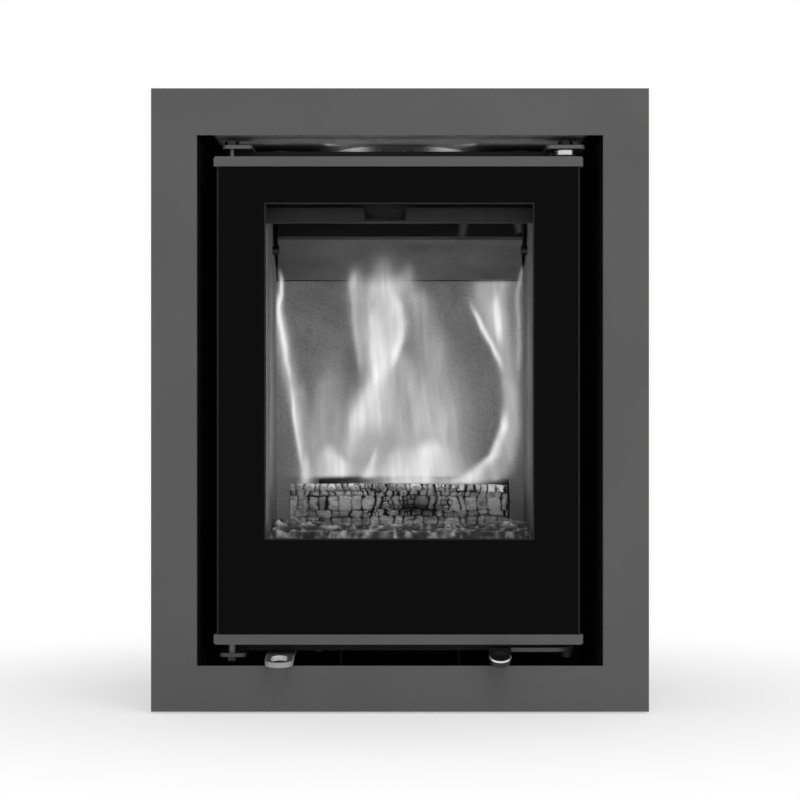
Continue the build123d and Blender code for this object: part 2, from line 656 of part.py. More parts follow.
def latch_keeper():
    """Pin under the firebox that the latch hook catches."""
    pin = rod(LATCH_X, KEEPER_Y, KEEPER_R, BOX_Z0 - KEEPER_DROP, BOX_Z0)
    return chamfer(pin.edges().sort_by(Axis.Z)[0], 0.8)


# ---- firebox inside ---------------------------------------------------------------------------------
def riser_outline():
    """Plan of one air riser, outside and inside, on the right."""
    outer = rect(BOX_IN_X - RISER_W, BOX_IN_X, RISER_Y0, AIRWASH_Y1)
    inner = rect(BOX_IN_X - RISER_W + RISER_WALL, BOX_IN_X - RISER_WALL,
                 RISER_Y0 + RISER_WALL, AIRWASH_Y1 - RISER_WALL)
    return outer, inner


def hearth_plate():
    """Plate that carries the bricks, open under the air risers."""
    plate = block(-BOX_IN_X, BOX_IN_X, BOX_Y1, BOX_IN_Y, HEARTH_Z, HEARTH_TOP)
    way = plan_sheet(riser_outline()[1], HEARTH_Z, HEARTH_TOP)
    return plate - way - mirror(way, Plane.YZ)


def air_riser(side):
    """Rectangular tube that leads air up to the air-wash duct."""
    outer, inner = riser_outline()
    tube = plan_sheet(outer - inner, HEARTH_TOP, AIRWASH_Z0)
    return tube if side > 0 else mirror(tube, Plane.YZ)


def airwash_duct():
    """Folded duct across the top of the mouth that sends air down the glass."""
    t = AIRWASH_SHEET
    points = [(AIRWASH_Y0, AIRWASH_Z0), (AIRWASH_Y1, AIRWASH_Z0), (AIRWASH_Y1, BOX_CEILING),
              (AIRWASH_Y1 - t, BOX_CEILING), (AIRWASH_Y1 - t, AIRWASH_Z0 + t),
              (AIRWASH_Y0 + t, AIRWASH_Z0 + t), (AIRWASH_Y0 + t, AIRWASH_Z0 + AIRWASH_LIP),
              (AIRWASH_Y0, AIRWASH_Z0 + AIRWASH_LIP)]
    duct = side_profile(points, -BOX_IN_X, BOX_IN_X)
    duct -= block(NOTCH_X0, NOTCH_X0 + NOTCH_W, AIRWASH_Y0, AIRWASH_Y0 + t, AIRWASH_Z0 + t,
                  AIRWASH_Z0 + AIRWASH_LIP)
    way = block(BOX_IN_X - RISER_W + t, BOX_IN_X - t, AIRWASH_Y0 + t, AIRWASH_Y1 - t,
                AIRWASH_Z0, AIRWASH_Z0 + t)
    return duct - way - mirror(way, Plane.YZ)


def floor_brick(side):
    """Half of the firebox floor, with worn top edges."""
    x0, x1 = sorted((side * BRICK_JOINT / 2, side * LINING_X))
    brick = block(x0, x1, BOX_Y1, BACK_BRICK_Y, HEARTH_TOP, FLOOR_TOP)
    return chamfer(brick.faces().sort_by(Axis.Z)[-1].edges(), BRICK_CHAMFER)


def peg_place():
    """Depth and height of the pegs, touching the baffle's lower face."""
    y = BAFFLE_Y + PEG_BACK
    z = BAFFLE_Z - PEG_BACK * BAFFLE_SLOPE
    run = hypot(1, BAFFLE_SLOPE)
    return y - PEG_R * BAFFLE_SLOPE / run, z - PEG_R / run


def side_brick(side):
    """Side lining with the hole for a baffle peg."""
    y, z = peg_place()
    brick = block(LINING_X, BOX_IN_X, SIDE_BRICK_Y0, BACK_BRICK_Y1, HEARTH_TOP, SIDE_BRICK_TOP)
    front = brick.edges().filter_by(Axis.Z).sort_by(Axis.Y)[:2].sort_by(Axis.X)[0]
    brick = chamfer(front, BRICK_CHAMFER)
    brick -= rod_x(y, z, PEG_R, LINING_X, BOX_IN_X)
    return brick if side > 0 else mirror(brick, Plane.YZ)


def back_brick():
    """Rear lining, its top cut to the slope of the baffle."""
    points = [(BACK_BRICK_Y, HEARTH_TOP), (BACK_BRICK_Y1, HEARTH_TOP),
              (BACK_BRICK_Y1, BAFFLE_REAR_Z), (BACK_BRICK_Y, SEAM_Z)]
    return side_profile(points, -LINING_X, LINING_X)


def baffle_board():
    """Sloping insulation board, a little narrower towards its front edge."""
    angle = atan2(BAFFLE_Z - SEAM_Z, BACK_BRICK_Y - BAFFLE_Y)
    plane = Plane(origin=(0, BACK_BRICK_Y1, BAFFLE_REAR_Z), x_dir=(1, 0, 0),
                  z_dir=(0, -sin(angle), -cos(angle)))
    rear, front = LINING_X - BAFFLE_SLACK, LINING_X - BAFFLE_FRONT_SLACK
    outline = make_face(Polyline((-rear, 0), (rear, 0), (front, BAFFLE_L), (-front, BAFFLE_L), close=True))
    board = extrude(plane * outline, -BAFFLE_T)
    trim_y = BOX_IN_Y - BAFFLE_TRIM
    return board - block(-BOX_X, BOX_X, trim_y, trim_y + BAFFLE_T, HEARTH_TOP, BOX_CEILING)


def baffle_pegs():
    y, z = peg_place()
    peg = rod_x(y, z, PEG_R, LINING_X - PEG_PROUD, BOX_IN_X)
    return group([peg, mirror(peg, Plane.YZ)])


def upper_baffle():
    """Steel deflector folded down at both sides to stand on the side bricks, open at the back."""
    z0, z1 = SIDE_BRICK_TOP, SIDE_BRICK_TOP + UPPER_BAFFLE_H
    x, t = UPPER_BAFFLE_X, UPPER_BAFFLE_T
    section = rect(-x, x, z0, z1) - rect(-x + t, x - t, z0, z1 - t)
    bends = section.vertices().group_by(Axis.Y)[-1]
    return front_sheet(fillet(bends, t), AIRWASH_Y1, UPPER_BAFFLE_Y1)


def log(left, right, y, depth, height):
    """A split log: one flat-bottomed outline lofted along x, thinner at its ends."""
    x0, x1 = left - LINING_X, LINING_X - right
    outline = [(-0.46, 0), (0.44, 0), (0.5, 0.42), (0.34, 0.9), (-0.1, 1.0), (-0.5, 0.62)]
    steps = [(0.0, 0.95), (0.3, 1.0), (0.7, 0.98), (1.0, 0.93)]
    sections = []
    for along, scale in steps:
        plane = Plane(origin=(x0 + along * (x1 - x0), y, EMBER_TOP), x_dir=(0, 1, 0), z_dir=(1, 0, 0))
        points = [(a * depth * scale, b * height * scale) for a, b in outline]
        sections.append(plane * make_face(Polyline(*points, close=True)))
    return loft(sections, ruled=True)


def ember_bed():
    """Ash over the floor bricks and a mound of embers in front of the log."""
    bed = block(-EMBER_X, EMBER_X, EMBER_Y0, EMBER_Y1, FLOOR_TOP, EMBER_TOP)
    bed = chamfer(bed.faces().sort_by(Axis.Z)[-1].edges(), EMBER_T / 2)
    middle = (MOUND_Y0 + MOUND_Y1) / 2
    steps = [(1.0, 0.0), (0.9, 0.55), (0.6, 1.0)]
    rings = [Pos(0, middle, EMBER_TOP + up * MOUND_H)
             * Rectangle(2 * (EMBER_X - EMBER_T) - (1 - share) * 40, (MOUND_Y1 - MOUND_Y0) * share)
             for share, up in steps]
    return bed + loft(rings, ruled=True)


# ---- door -----------------------------------------------------------------------------------------
def screw_places(z):
    return [(k * SCREW_X, z) for k in (-1, 0, 1)]


def strip(top):
    """Edge strip with a groove for the glass, a pin hole and screw holes."""
    z0 = DOOR_Z1 - STRIP_H if top else DOOR_Z0
    z1 = z0 + STRIP_H
    sketch = rect(DOOR_X0, DOOR_X1, z0, z1)
    outer = sketch.vertices().group_by(Axis.Y)[-1 if top else 0]
    bar = front_sheet(fillet(outer, STRIP_CORNER), DOOR_RECESS, STRIP_Y1)
    bite = GLASS_BITE + GLASS_SLACK
    groove_z = (z0, z0 + bite) if top else (z1 - bite, z1)
    bar -= block(DOOR_X0, DOOR_X1, GLASS_Y0, GLASS_Y1 + GLASS_SLACK, *groove_z)
    pin_z = (z1 - HINGE_PIN_BITE, z1) if top else (z0, z0 + HINGE_PIN_BITE)
    bar -= rod(HINGE_X, HINGE_Y, HINGE_PIN_R + RUN_GAP, *pin_z)
    screw_z = DOOR_Z1 - SCREW_EDGE if top else DOOR_Z0 + SCREW_EDGE
    for x, z in screw_places(screw_z):
        bar -= rod_y(x, z, SCREW_R, GLASS_Y1 + GLASS_SLACK + 2, STRIP_Y1)
    return bar


def door_glass():
    """Ceramic glass panel, both long edges inside the strips."""
    return block(GLASS_X0, GLASS_X1, GLASS_Y0, GLASS_Y1, GLASS_Z0, GLASS_Z1)


def door_frame():
    """Inner steel frame behind the glass."""
    sketch = rect(DOOR_X0 + DOOR_PLATE_INSET_LEFT, DOOR_X1 - DOOR_PLATE_INSET_RIGHT,
                  DOOR_Z0 + DOOR_PLATE_INSET_Z, DOOR_Z1 - DOOR_PLATE_INSET_Z)
    sketch -= rect(DOOR_X0 + WINDOW_LEFT - WINDOW_COVER, DOOR_X1 - WINDOW_RIGHT + WINDOW_COVER,
                   DOOR_Z0 + WINDOW_BOTTOM - WINDOW_COVER, DOOR_Z1 - WINDOW_TOP + WINDOW_COVER)
    plate = front_sheet(sketch, STRIP_Y1, DOOR_PLATE_Y1)
    for x, z in screw_places(DOOR_Z0 + SCREW_EDGE) + screw_places(DOOR_Z1 - SCREW_EDGE):
        plate -= rod_y(x, z, SCREW_R, STRIP_Y1, DOOR_PLATE_Y1)
    return plate


def door_screws():
    """Screws that hold the inner frame to both strips."""
    screws = []
    for x, z in screw_places(DOOR_Z0 + SCREW_EDGE) + screw_places(DOOR_Z1 - SCREW_EDGE):
        shank = rod_y(x, z, SCREW_R, GLASS_Y1 + GLASS_SLACK + 2, DOOR_PLATE_Y1)
        head = Pos(x, z) * RegularPolygon(SCREW_HEAD_R, 6)
        screws.append(shank + front_sheet(head, DOOR_PLATE_Y1, DOOR_PLATE_Y1 + SCREW_HEAD_T))
    return group(screws)


def glass_seal():
    """Soft seal between the glass and the inner frame."""
    edge = GLASS_SEAL_EDGE
    sketch = ring(GLASS_X0 + edge, GLASS_X1 - edge, DOOR_Z0 + STRIP_H + SEAL_GAP,
                  DOOR_Z1 - STRIP_H - SEAL_GAP, GLASS_SEAL_W)
    return front_sheet(sketch, GLASS_Y1, STRIP_Y1)


def rope_seal():
    """Rope seal that the door presses on the firebox front, around the mouth."""
    out_x = MOUTH_X + ROPE_EDGE + ROPE_W
    z0, z1 = MOUTH_Z0 - ROPE_EDGE - ROPE_W, MOUTH_Z1 + ROPE_EDGE + ROPE_W
    rope = front_sheet(ring(-out_x, out_x, z0, z1, ROPE_W), DOOR_PLATE_Y1, DOOR_PLATE_Y1 + ROPE_T)
    return fillet(rope.faces().sort_by(Axis.Y)[-1].edges(), ROPE_W / 3)


def guide_lug():
    """Lug on the door that runs beside the guide roller."""
    x1 = ROLLER_X - ROLLER_R - LUG_GAP
    z0, z1 = DOOR_Z1 - LUG_BELOW, DOOR_Z1 + LUG_ABOVE
    return block(x1 - LUG_W, x1, DOOR_PLATE_Y1, DOOR_PLATE_Y1 + LUG_T, z0, z1)


def latch_bearing():
    """Block on the door's inner frame that the latch spindle turns in."""
    z0 = DOOR_Z0 + BEARING_LIFT
    body = block(LATCH_X - BEARING_W / 2, LATCH_X + BEARING_W / 2, DOOR_PLATE_Y1,
                 DOOR_PLATE_Y1 + BEARING_DEPTH, z0, z0 + BEARING_H)
    body = fillet(body.edges().filter_by(Axis.Z).sort_by(Axis.Y)[2:], 4)
    return body - rod(LATCH_X, LATCH_Y, SPINDLE_R + RUN_GAP, z0, z0 + BEARING_H)


# ---- latch ------------------------------------------------------------------------------------------
def latch_spindle():
    """Spindle with a head above the bearing, a shoulder below it and a riveted lower end."""
    bearing_z0 = DOOR_Z0 + BEARING_LIFT
    bearing_z1 = bearing_z0 + BEARING_H
    shaft = rod(LATCH_X, LATCH_Y, SPINDLE_R, HOOK_Z0, bearing_z1 + RUN_GAP)
    shaft += rod(LATCH_X, LATCH_Y, SHOULDER_R, bearing_z1 + RUN_GAP, bearing_z1 + 2)
    shaft += rod(LATCH_X, LATCH_Y, SHOULDER_R, LEVER_Z1, bearing_z0 - RUN_GAP)
    return shaft + rod(LATCH_X, LATCH_Y, SHOULDER_R + 1, HOOK_Z0 - 2, HOOK_Z0)


def latch_lever():
    """Flat lever: a straight arm along the door, bent back to its hub."""
    half = LEVER_W / 2
    bend_x = LATCH_X - LEVER_BEND_R
    arm_y = LATCH_Y - LEVER_BEND_R
    sketch = rect(HANDLE_X + HANDLE_W / 2, bend_x, arm_y - half, arm_y + half)
    bend = Pos(bend_x, LATCH_Y) * (Circle(LEVER_BEND_R + half) - Circle(LEVER_BEND_R - half))
    far = LEVER_BEND_R + LEVER_W
    sketch += bend & rect(bend_x, bend_x + far, LATCH_Y - far, LATCH_Y)
    sketch += Pos(LATCH_X, LATCH_Y) * Circle(LEVER_HUB_R)
    sketch -= Pos(LATCH_X, LATCH_Y) * Circle(SPINDLE_R)
    return plan_sheet(sketch, LEVER_Z0, LEVER_Z1)


def latch_handle():
    """Tongue that slopes down and forward to a round end, hollowed for the thumb."""
    arm_y1 = LATCH_Y - LEVER_BEND_R + LEVER_W / 2
    x0, x1 = HANDLE_X - HANDLE_W / 2, HANDLE_X + HANDLE_W / 2
    tip_z = LEVER_Z1 - HANDLE_FALL
    points = [(arm_y1, LEVER_Z1), (-HANDLE_KNEE, LEVER_Z1), (-HANDLE_REACH, tip_z),
              (-HANDLE_REACH, tip_z - HANDLE_T), (-HANDLE_KNEE, LEVER_Z1 - HANDLE_T), (arm_y1, LEVER_Z0)]
    r = HANDLE_W / 2
    outline = rect(x0, x1, -HANDLE_REACH + r, arm_y1) + Pos(HANDLE_X, -HANDLE_REACH + r) * Circle(r)
    tongue = side_profile(points, x0, x1) & plan_sheet(outline, tip_z - HANDLE_T, LEVER_Z1)
    slope = atan2(HANDLE_FALL, HANDLE_REACH - HANDLE_KNEE)
    thumb_y = -HANDLE_REACH + r
    thumb_z = tip_z + r * HANDLE_FALL / (HANDLE_REACH - HANDLE_KNEE)
    lift = THUMB_R - THUMB_DEPTH
    return tongue - Pos(HANDLE_X, thumb_y - lift * sin(slope), thumb_z + lift * cos(slope)) * Sphere(THUMB_R)


def polar(angle, r):
    """A point r from the spindle, angle degrees to the left of straight back."""
    return (-r * sin(radians(angle)), r * cos(radians(angle)))


def latch_hook():
    """Hook whose nose turns behind the keeper pin."""
    nose = Circle(HOOK_OUT_R) - Circle(HOOK_IN_R)
    far = 2 * HOOK_OUT_R
    nose &= make_face(Polyline((0, 0), polar(HOOK_TIP_DEG, far), polar(HOOK_HEEL_DEG, far), close=True))
    arm = make_face(Polyline(polar(HOOK_ROOT_DEG - 8, HOOK_HUB_R), polar(HOOK_ROOT_DEG, HOOK_IN_R + 0.5),
                             polar(HOOK_HEEL_DEG, HOOK_OUT_R - 2), polar(HOOK_HEEL_DEG + 42, HOOK_HUB_R),
                             (0, 0), close=True))
    sketch = nose + arm + Circle(HOOK_HUB_R) - Circle(SPINDLE_R)
    hook = plan_sheet(Pos(LATCH_X, LATCH_Y) * sketch, HOOK_Z0, HOOK_Z1)
    boss = Pos(LATCH_X, LATCH_Y) * (Circle(HOOK_HUB_R) - Circle(SPINDLE_R))
    return hook + plan_sheet(boss, HOOK_Z1, LEVER_Z0)


# ---- air control --------------------------------------------------------------------------------------
def air_tab():
    """Bar that slopes down to a round end with a slot, bent level where it meets the shutter."""
    z1 = SHUTTER_Z1
    points = [(SHUTTER_Y0, z1), (TAB_BEND_Y, z1), (-TAB_REACH, z1 - TAB_FALL),
              (-TAB_REACH, z1 - TAB_FALL - TAB_T), (TAB_BEND_Y, z1 - TAB_T), (SHUTTER_Y0, z1 - TAB_T)]
    half = TAB_W / 2
    bar = side_profile(points, TAB_X - half, TAB_X + half)
    nose_y = -TAB_REACH + half
    outline = rect(TAB_X - half, TAB_X + half, nose_y, SHUTTER_Y0) + Pos(TAB_X, nose_y) * Circle(half)
    slot_y = -TAB_REACH + TAB_SLOT_EDGE + TAB_SLOT_L / 2
    outline -= Pos(TAB_X, slot_y) * SlotOverall(TAB_SLOT_L, TAB_SLOT_W, rotation=90)
    return bar & plan_sheet(outline, z1 - TAB_FALL - TAB_T, z1)


def air_shutter():
    """Sliding plate with two ports."""
    half = SHUTTER_W / 2
    plate = block(TAB_X - half, TAB_X + half, SHUTTER_Y0, SHUTTER_Y0 + SHUTTER_L, SHUTTER_Z0, SHUTTER_Z1)
    for y in PORT_Y:
        plate -= port(y + PORT_OFFSET, SHUTTER_Z0, SHUTTER_Z1)
    return plate


def shutter_guides():
    """Two folded rails under the firebox that the shutter runs in."""
    x0 = SHUTTER_W / 2 + GUIDE_GAP
    lip_z1 = SHUTTER_Z0 - GUIDE_GAP
    guides = []
    for side in (-1, 1):
        web_x = sorted((TAB_X + side * x0, TAB_X + side * (x0 + GUIDE_SHEET)))
        lip_x = sorted((TAB_X + side * (x0 - GUIDE_LIP), TAB_X + side * (x0 + GUIDE_SHEET)))
        web = block(*web_x, SHUTTER_Y0, SHUTTER_Y0 + GUIDE_L, lip_z1, BOX_Z0)
        guides.append(web + block(*lip_x, SHUTTER_Y0, SHUTTER_Y0 + GUIDE_L, lip_z1 - GUIDE_SHEET, lip_z1))
    return group(guides)


NODES = {
    "surround_frame": surround_frame(),
    "frame_magnets": frame_magnets(),
    "mounting_flange": mounting_flange(),
    "casing_left": casing_side(-1),
    "casing_right": casing_side(1),
    "casing_top": casing_top(),
    "casing_base": casing_base(),
    "casing_back": casing_back(),
    "top_caps": top_caps(),
    "levelling_feet": levelling_feet(),
    "firebox_front": firebox_front(),
    "firebox_left": firebox_side(-1),
    "firebox_right": firebox_side(1),
    "firebox_back": firebox_back(),
    "firebox_top": firebox_top(),
    "firebox_bottom": firebox_bottom(),
    "support_rails": support_rails(),
    "flue_collar": flue_collar(),
    "collar_bolts": collar_bolts(),
    "air_inlet_spigot": air_inlet_spigot(),
    "upper_hinge_plate": upper_hinge_plate(),
    "lower_hinge_plate": lower_hinge_plate(),
    "upper_hinge_pin": upper_hinge_pin(),
    "lower_hinge_pin": lower_hinge_pin(),
    "arm_bolts": arm_bolts(),
    "roller_bracket": roller_bracket(),
    "roller_bolt": roller_bolt(),
    "guide_roller": guide_roller(),
    "latch_keeper": latch_keeper(),
    "hearth_plate": hearth_plate(),
    "air_riser_left": air_riser(-1),
    "air_riser_right": air_riser(1),
    "airwash_duct": airwash_duct(),
    "floor_brick_left": floor_brick(-1),
    "floor_brick_right": floor_brick(1),
    "side_brick_left": side_brick(-1),
    "side_brick_right": side_brick(1),
    "back_brick": back_brick(),
    "baffle_board": baffle_board(),
    "baffle_pegs": baffle_pegs(),
    "upper_baffle": upper_baffle(),
    "front_log": log(FRONT_LOG_LEFT, FRONT_LOG_RIGHT, FRONT_LOG_Y, FRONT_LOG_D, FRONT_LOG_H),
    "rear_log": log(REAR_LOG_LEFT, REAR_LOG_RIGHT, REAR_LOG_Y, REAR_LOG_D, REAR_LOG_H),
    "ember_bed": ember_bed(),
    "door_glass": door_glass(),
    "top_strip": strip(True),
    "bottom_strip": strip(False),
    "door_frame": door_frame(),
    "door_screws": door_screws(),
    "glass_seal": glass_seal(),
    "rope_seal": rope_seal(),
    "guide_lug": guide_lug(),
    "latch_bearing": latch_bearing(),
    "latch_spindle": latch_spindle(),
    "latch_lever": latch_lever(),
    "latch_handle": latch_handle(),
    "latch_hook": latch_hook(),
    "air_tab": air_tab(),
    "air_shutter": air_shutter(),
    "shutter_guides": shutter_guides(),
}

os.makedirs("parts", exist_ok=True)
for name, shape in NODES.items():
    export_step(Pos(0, -MID_DEPTH, 0) * shape, "parts/" + name + ".step")
print(len(NODES), "nodes; origin lies", MID_DEPTH, "mm behind the frame's front face")
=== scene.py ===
"""Dresses the inset fireplace: paint, steel, brick, glass, charred logs, embers and flames.

Metres, in the part's own frame: x to the right, y from the room into the wall, z up from the hearth.
"""
import json
from math import radians

import bpy
import numpy as np
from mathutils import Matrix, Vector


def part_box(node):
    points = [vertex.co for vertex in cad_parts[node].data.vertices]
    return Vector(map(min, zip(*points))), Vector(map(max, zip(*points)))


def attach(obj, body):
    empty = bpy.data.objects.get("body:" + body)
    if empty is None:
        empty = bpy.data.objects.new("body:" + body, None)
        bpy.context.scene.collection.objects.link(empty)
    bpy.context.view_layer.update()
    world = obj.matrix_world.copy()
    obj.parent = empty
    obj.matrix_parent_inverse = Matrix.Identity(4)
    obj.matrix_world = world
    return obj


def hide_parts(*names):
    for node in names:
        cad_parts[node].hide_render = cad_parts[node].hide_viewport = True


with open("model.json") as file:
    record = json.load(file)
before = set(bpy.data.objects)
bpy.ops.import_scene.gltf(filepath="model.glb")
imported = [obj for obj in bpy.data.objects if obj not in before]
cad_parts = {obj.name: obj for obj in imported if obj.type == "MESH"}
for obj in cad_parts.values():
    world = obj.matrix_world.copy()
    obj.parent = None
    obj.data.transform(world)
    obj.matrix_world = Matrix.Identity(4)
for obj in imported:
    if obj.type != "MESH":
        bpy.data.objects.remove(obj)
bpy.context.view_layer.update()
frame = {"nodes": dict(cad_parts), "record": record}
nodes = frame["nodes"]

FRONT_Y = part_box("surround_frame")[0][1]       # front face of the surround
MM = 0.001


def depth(mm):
    """A depth behind the frame's face, in millimetres, as a y in metres."""
    return FRONT_Y + mm * MM


def grey(level):
    """A grey as it shows on a screen, 0 to 255, as a shader colour, by undoing the screen's curve."""
    share = level / 255
    light = share / 12.92 if share <= 0.04045 else ((share + 0.055) / 1.055) ** 2.4
    return (light, light, light, 1.0)


# ---- shader maths -------------------------------------------------------------------------------
class Wire:
    """A shader output that Python's operators work on; each adds a Math node."""

    def __init__(self, finish, socket):
        self.finish = finish
        self.socket = socket

    def _math(self, operation, first, second=0.0):
        """One Math node on two values or links."""
        return self.finish.add("ShaderNodeMath", {"operation": operation}, {0: first, 1: second})

    def __add__(self, other):
        return self._math("ADD", self, other)

    def __sub__(self, other):
        return self._math("SUBTRACT", self, other)

    def __rsub__(self, other):
        return self._math("SUBTRACT", other, self)

    def __mul__(self, other):
        return self._math("MULTIPLY", self, other)

    def __pow__(self, other):
        return self._math("POWER", self, other)

    def __rpow__(self, other):
        return self._math("POWER", other, self)

    def __abs__(self):
        return self._math("ABSOLUTE", self)

    def __gt__(self, other):
        return self._math("GREATER_THAN", self, other)

    def __lt__(self, other):
        return self._math("LESS_THAN", self, other)

    def most(self, other):
        """The larger of the two."""
        return self._math("MAXIMUM", self, other)

    def least(self, other):
        """The smaller of the two."""
        return self._math("MINIMUM", self, other)

    def part(self, low, high):
        """This value spread so that low becomes 0 and high becomes 1, and held there."""
        return self.finish.add("ShaderNodeMapRange", {"clamp": True, "interpolation_type": "SMOOTHSTEP"},
                               {0: self, 1: low, 2: high, 3: 0.0, 4: 1.0})

    __radd__ = __add__
    __rmul__ = __mul__


class Finish:
    """A material or a world being made: add() puts in a node, surface() ends a material."""

    def __init__(self, name, home=None):
        self.made = (bpy.data.materials if home is None else home).new(name)
        self.made.use_nodes = True
        self.tree = self.made.node_tree
        self.tree.nodes.clear()
        self.place = self.add("ShaderNodeTexCoord", out="Object")

    def add(self, kind, settings=None, inputs=None, out=0):
        """Any node: its type, its settings, the values or links of its sockets, and the output wanted."""
        node = self.tree.nodes.new(kind)
        for key, value in (settings or {}).items():
            if key == "stops":
                self._stops(node.color_ramp, value)
            else:
                setattr(node, key, value)
        for key, value in (inputs or {}).items():
            if isinstance(value, Wire):
                self.tree.links.new(value.socket, node.inputs[key])
            else:
                node.inputs[key].default_value = value
        return Wire(self, node.outputs[out]) if node.outputs else None

    @staticmethod
    def _stops(ramp, stops):
        """Gives a colour ramp these stops, each a place from 0 to 1 and a colour."""
        while len(ramp.elements) > len(stops):
            ramp.elements.remove(ramp.elements[-1])
        while len(ramp.elements) < len(stops):
            ramp.elements.new(1.0)
        for element, (at, colour) in zip(ramp.elements, stops):
            element.position = at
            element.color = colour

    def noise(self, scale, detail=3.0, rough=0.55, where=None, warp=0.0):
        """Cloudy noise, 0 to 1, about one cloud to 1 / scale metres."""
        return self.add("ShaderNodeTexNoise", {}, {"Vector": where or self.place, "Scale": scale,
                        "Detail": detail, "Roughness": rough, "Distortion": warp})

    def cells(self, scale, feature="F1", where=None, out="Distance"):
        """Scattered cells, about one to 1 / scale metres."""
        return self.add("ShaderNodeTexVoronoi", {"feature": feature},
                        {"Vector": where or self.place, "Scale": scale}, out)

    def stretched(self, x, y, z):
        """Places scaled along each axis; a small scale draws a pattern out along that axis."""
        return self.add("ShaderNodeMapping", {}, {0: self.place, 3: (x, y, z)})

    def warped(self, share, scale, detail=2.0):
        """Places pushed about by a share of coloured noise, so that cell walls wander."""
        swirl = self.add("ShaderNodeTexNoise", {}, {"Vector": self.place, "Scale": scale, "Detail": detail},
                         "Color")
        return self.mix(share, self.place, swirl)

    def ramp(self, value, *stops):
        """A value turned into a colour between the stops on either side of it."""
        return self.add("ShaderNodeValToRGB", {"stops": stops}, {0: value})

    def mix(self, share, first, second):
        """The second colour or vector laid over the first by a share from 0 to 1."""
        return self.add("ShaderNodeMix", {"data_type": "RGBA"}, {0: share, 6: first, 7: second}, 2)

    def bump(self, height, mm, strength=1.0):
        """Relief of this height, where 1 stands so many millimetres proud."""
        return self.add("ShaderNodeBump", {}, {"Strength": strength, "Distance": mm * MM, "Height": height})

    def axis(self, name):
        """One coordinate in metres, in the part's own frame."""
        return self.add("ShaderNodeSeparateXYZ", {}, {0: self.place}, name)

    def surface(self, **sockets):
        """Principled shader with these sockets, spaces written as underscores."""
        inputs = {key.replace("_", " "): value for key, value in sockets.items()}
        shader = self.add("ShaderNodeBsdfPrincipled", {}, inputs)
        self.add("ShaderNodeOutputMaterial", {}, {0: shader})
        return self.made


# ---- finishes -----------------------------------------------------------------------------------
BLACKED = grey(14)                              # black paint and blacking on steel


def tool_marks(f):
    """Fine rings round a turned piece, and slow smears from handling."""
    marks = f.noise(900.0, 3.0, where=f.stretched(0.15, 0.15, 6.0))
    return marks, f.noise(60.0, 5.0, 0.6)


def powder_coat(name, level):
    """Powder coat: close grain of about half a millimetre, soft clouding and pale specks."""
    f = Finish(name)
    cloud = f.noise(7.0, 4.0)
    speck = f.noise(2600.0, 2.0)
    tone = f.ramp(cloud, (0.25, grey(level * 0.95)), (0.75, grey(level * 1.05)))
    tone = f.mix(speck.part(0.62, 0.8) * 0.25, tone, grey(level * 1.25))
    return f.surface(Base_Color=tone, Roughness=0.44 + (cloud - 0.5) * 0.12 + (speck - 0.5) * 0.1,
                     Normal=f.bump(f.cells(1500.0, "SMOOTH_F1") + speck * 0.5, 0.06, 0.5))


def heat_paint(name, level, gloss=0.6):
    """Matt heat-proof black, dusty and slightly burnt to grey in clouds."""
    f = Finish(name)
    cloud = f.noise(16.0, 6.0, 0.65)
    dust = f.noise(240.0, 4.0)
    tone = f.ramp(cloud, (0.3, grey(level * 0.8)), (0.7, grey(level * 1.25)))
    tone = f.mix(dust.part(0.6, 0.85) * 0.3, tone, grey(level * 1.9))
    return f.surface(Base_Color=tone, Roughness=gloss + (dust - 0.5) * 0.2,
                     Normal=f.bump(dust + f.noise(900.0) * 0.5, 0.12, 0.5))


def galvanised(name, level, shade_below=None, shade_beyond=0.0):
    """Zinc-coated sheet: crystals under a centimetre wide, each its own tone, with faint rolling lines.
    Below a given height and further out from the middle than a given distance, it carries a painted shade in
    black."""
    f = Finish(name)
    shade = f.cells(120.0, where=f.warped(0.04, 40.0), out="Color")
    crystal = f.add("ShaderNodeSeparateColor", {}, {0: shade}, 0)
    lines = f.noise(60.0, 3.0, where=f.stretched(1.0, 30.0, 30.0))
    tone = f.ramp(crystal, (0.0, grey(level * 0.91)), (1.0, grey(level * 1.07)))
    tone = f.mix(f.noise(12.0, 5.0).part(0.55, 0.75) * 0.25, tone, grey(level * 0.7))
    if shade_below:
        shade_fade = 0.006                       # width over which the painted shade fades in
        # painted shade: the ceiling's underside is blacked towards its two ends, where it lies in shade
        shaded_ends = abs(f.axis("X")).part(shade_beyond, shade_beyond + shade_fade) * (f.axis("Z") < shade_below)
        tone = f.mix(shaded_ends, tone, BLACKED)
    return f.surface(Base_Color=tone, Metallic=0.3, Roughness=0.42 + crystal * 0.12 + (lines - 0.5) * 0.1,
                     Normal=f.bump(lines, 0.05, 0.4))


def collar_with_painted_highlight(name, level, bright):
    """Cast iron with a painted highlight on its two flanks: the pale paint grows with the distance from the
    middle.
    """
    f = Finish(name)
    skin = f.noise(420.0, 6.0, 0.7)
    highlight_from, highlight_to = 0.022, 0.05          # distance to either side of the middle over which the painted highlight grows
    # painted highlight: the flanks are painted towards a pale grey, standing in for the shine of side light
    highlight_share = abs(f.axis("X")).part(highlight_from, highlight_to)
    tone = f.ramp(skin, (0.35, grey(level * 0.7)), (0.7, grey(level * 1.3)))
    return f.surface(Base_Color=f.mix(highlight_share, tone, grey(bright)), Roughness=0.5 + (skin - 0.5) * 0.2,
                     Normal=f.bump(skin, 0.2, 0.5))


def turned_steel(name, level, gloss=0.22):
    """Machined steel: fine tool marks, and a trace of handling in its tone and gloss."""
    f = Finish(name)
    marks, smear = tool_marks(f)
    tone = f.ramp(smear, (0.3, grey(level * 0.94)), (0.7, grey(min(255, level * 1.04))))
    rough = gloss + (smear - 0.5) * 0.14 + (marks - 0.5) * 0.1
    return f.surface(Base_Color=tone, Metallic=1.0, Roughness=rough, Normal=f.bump(marks, 0.02, 0.5))


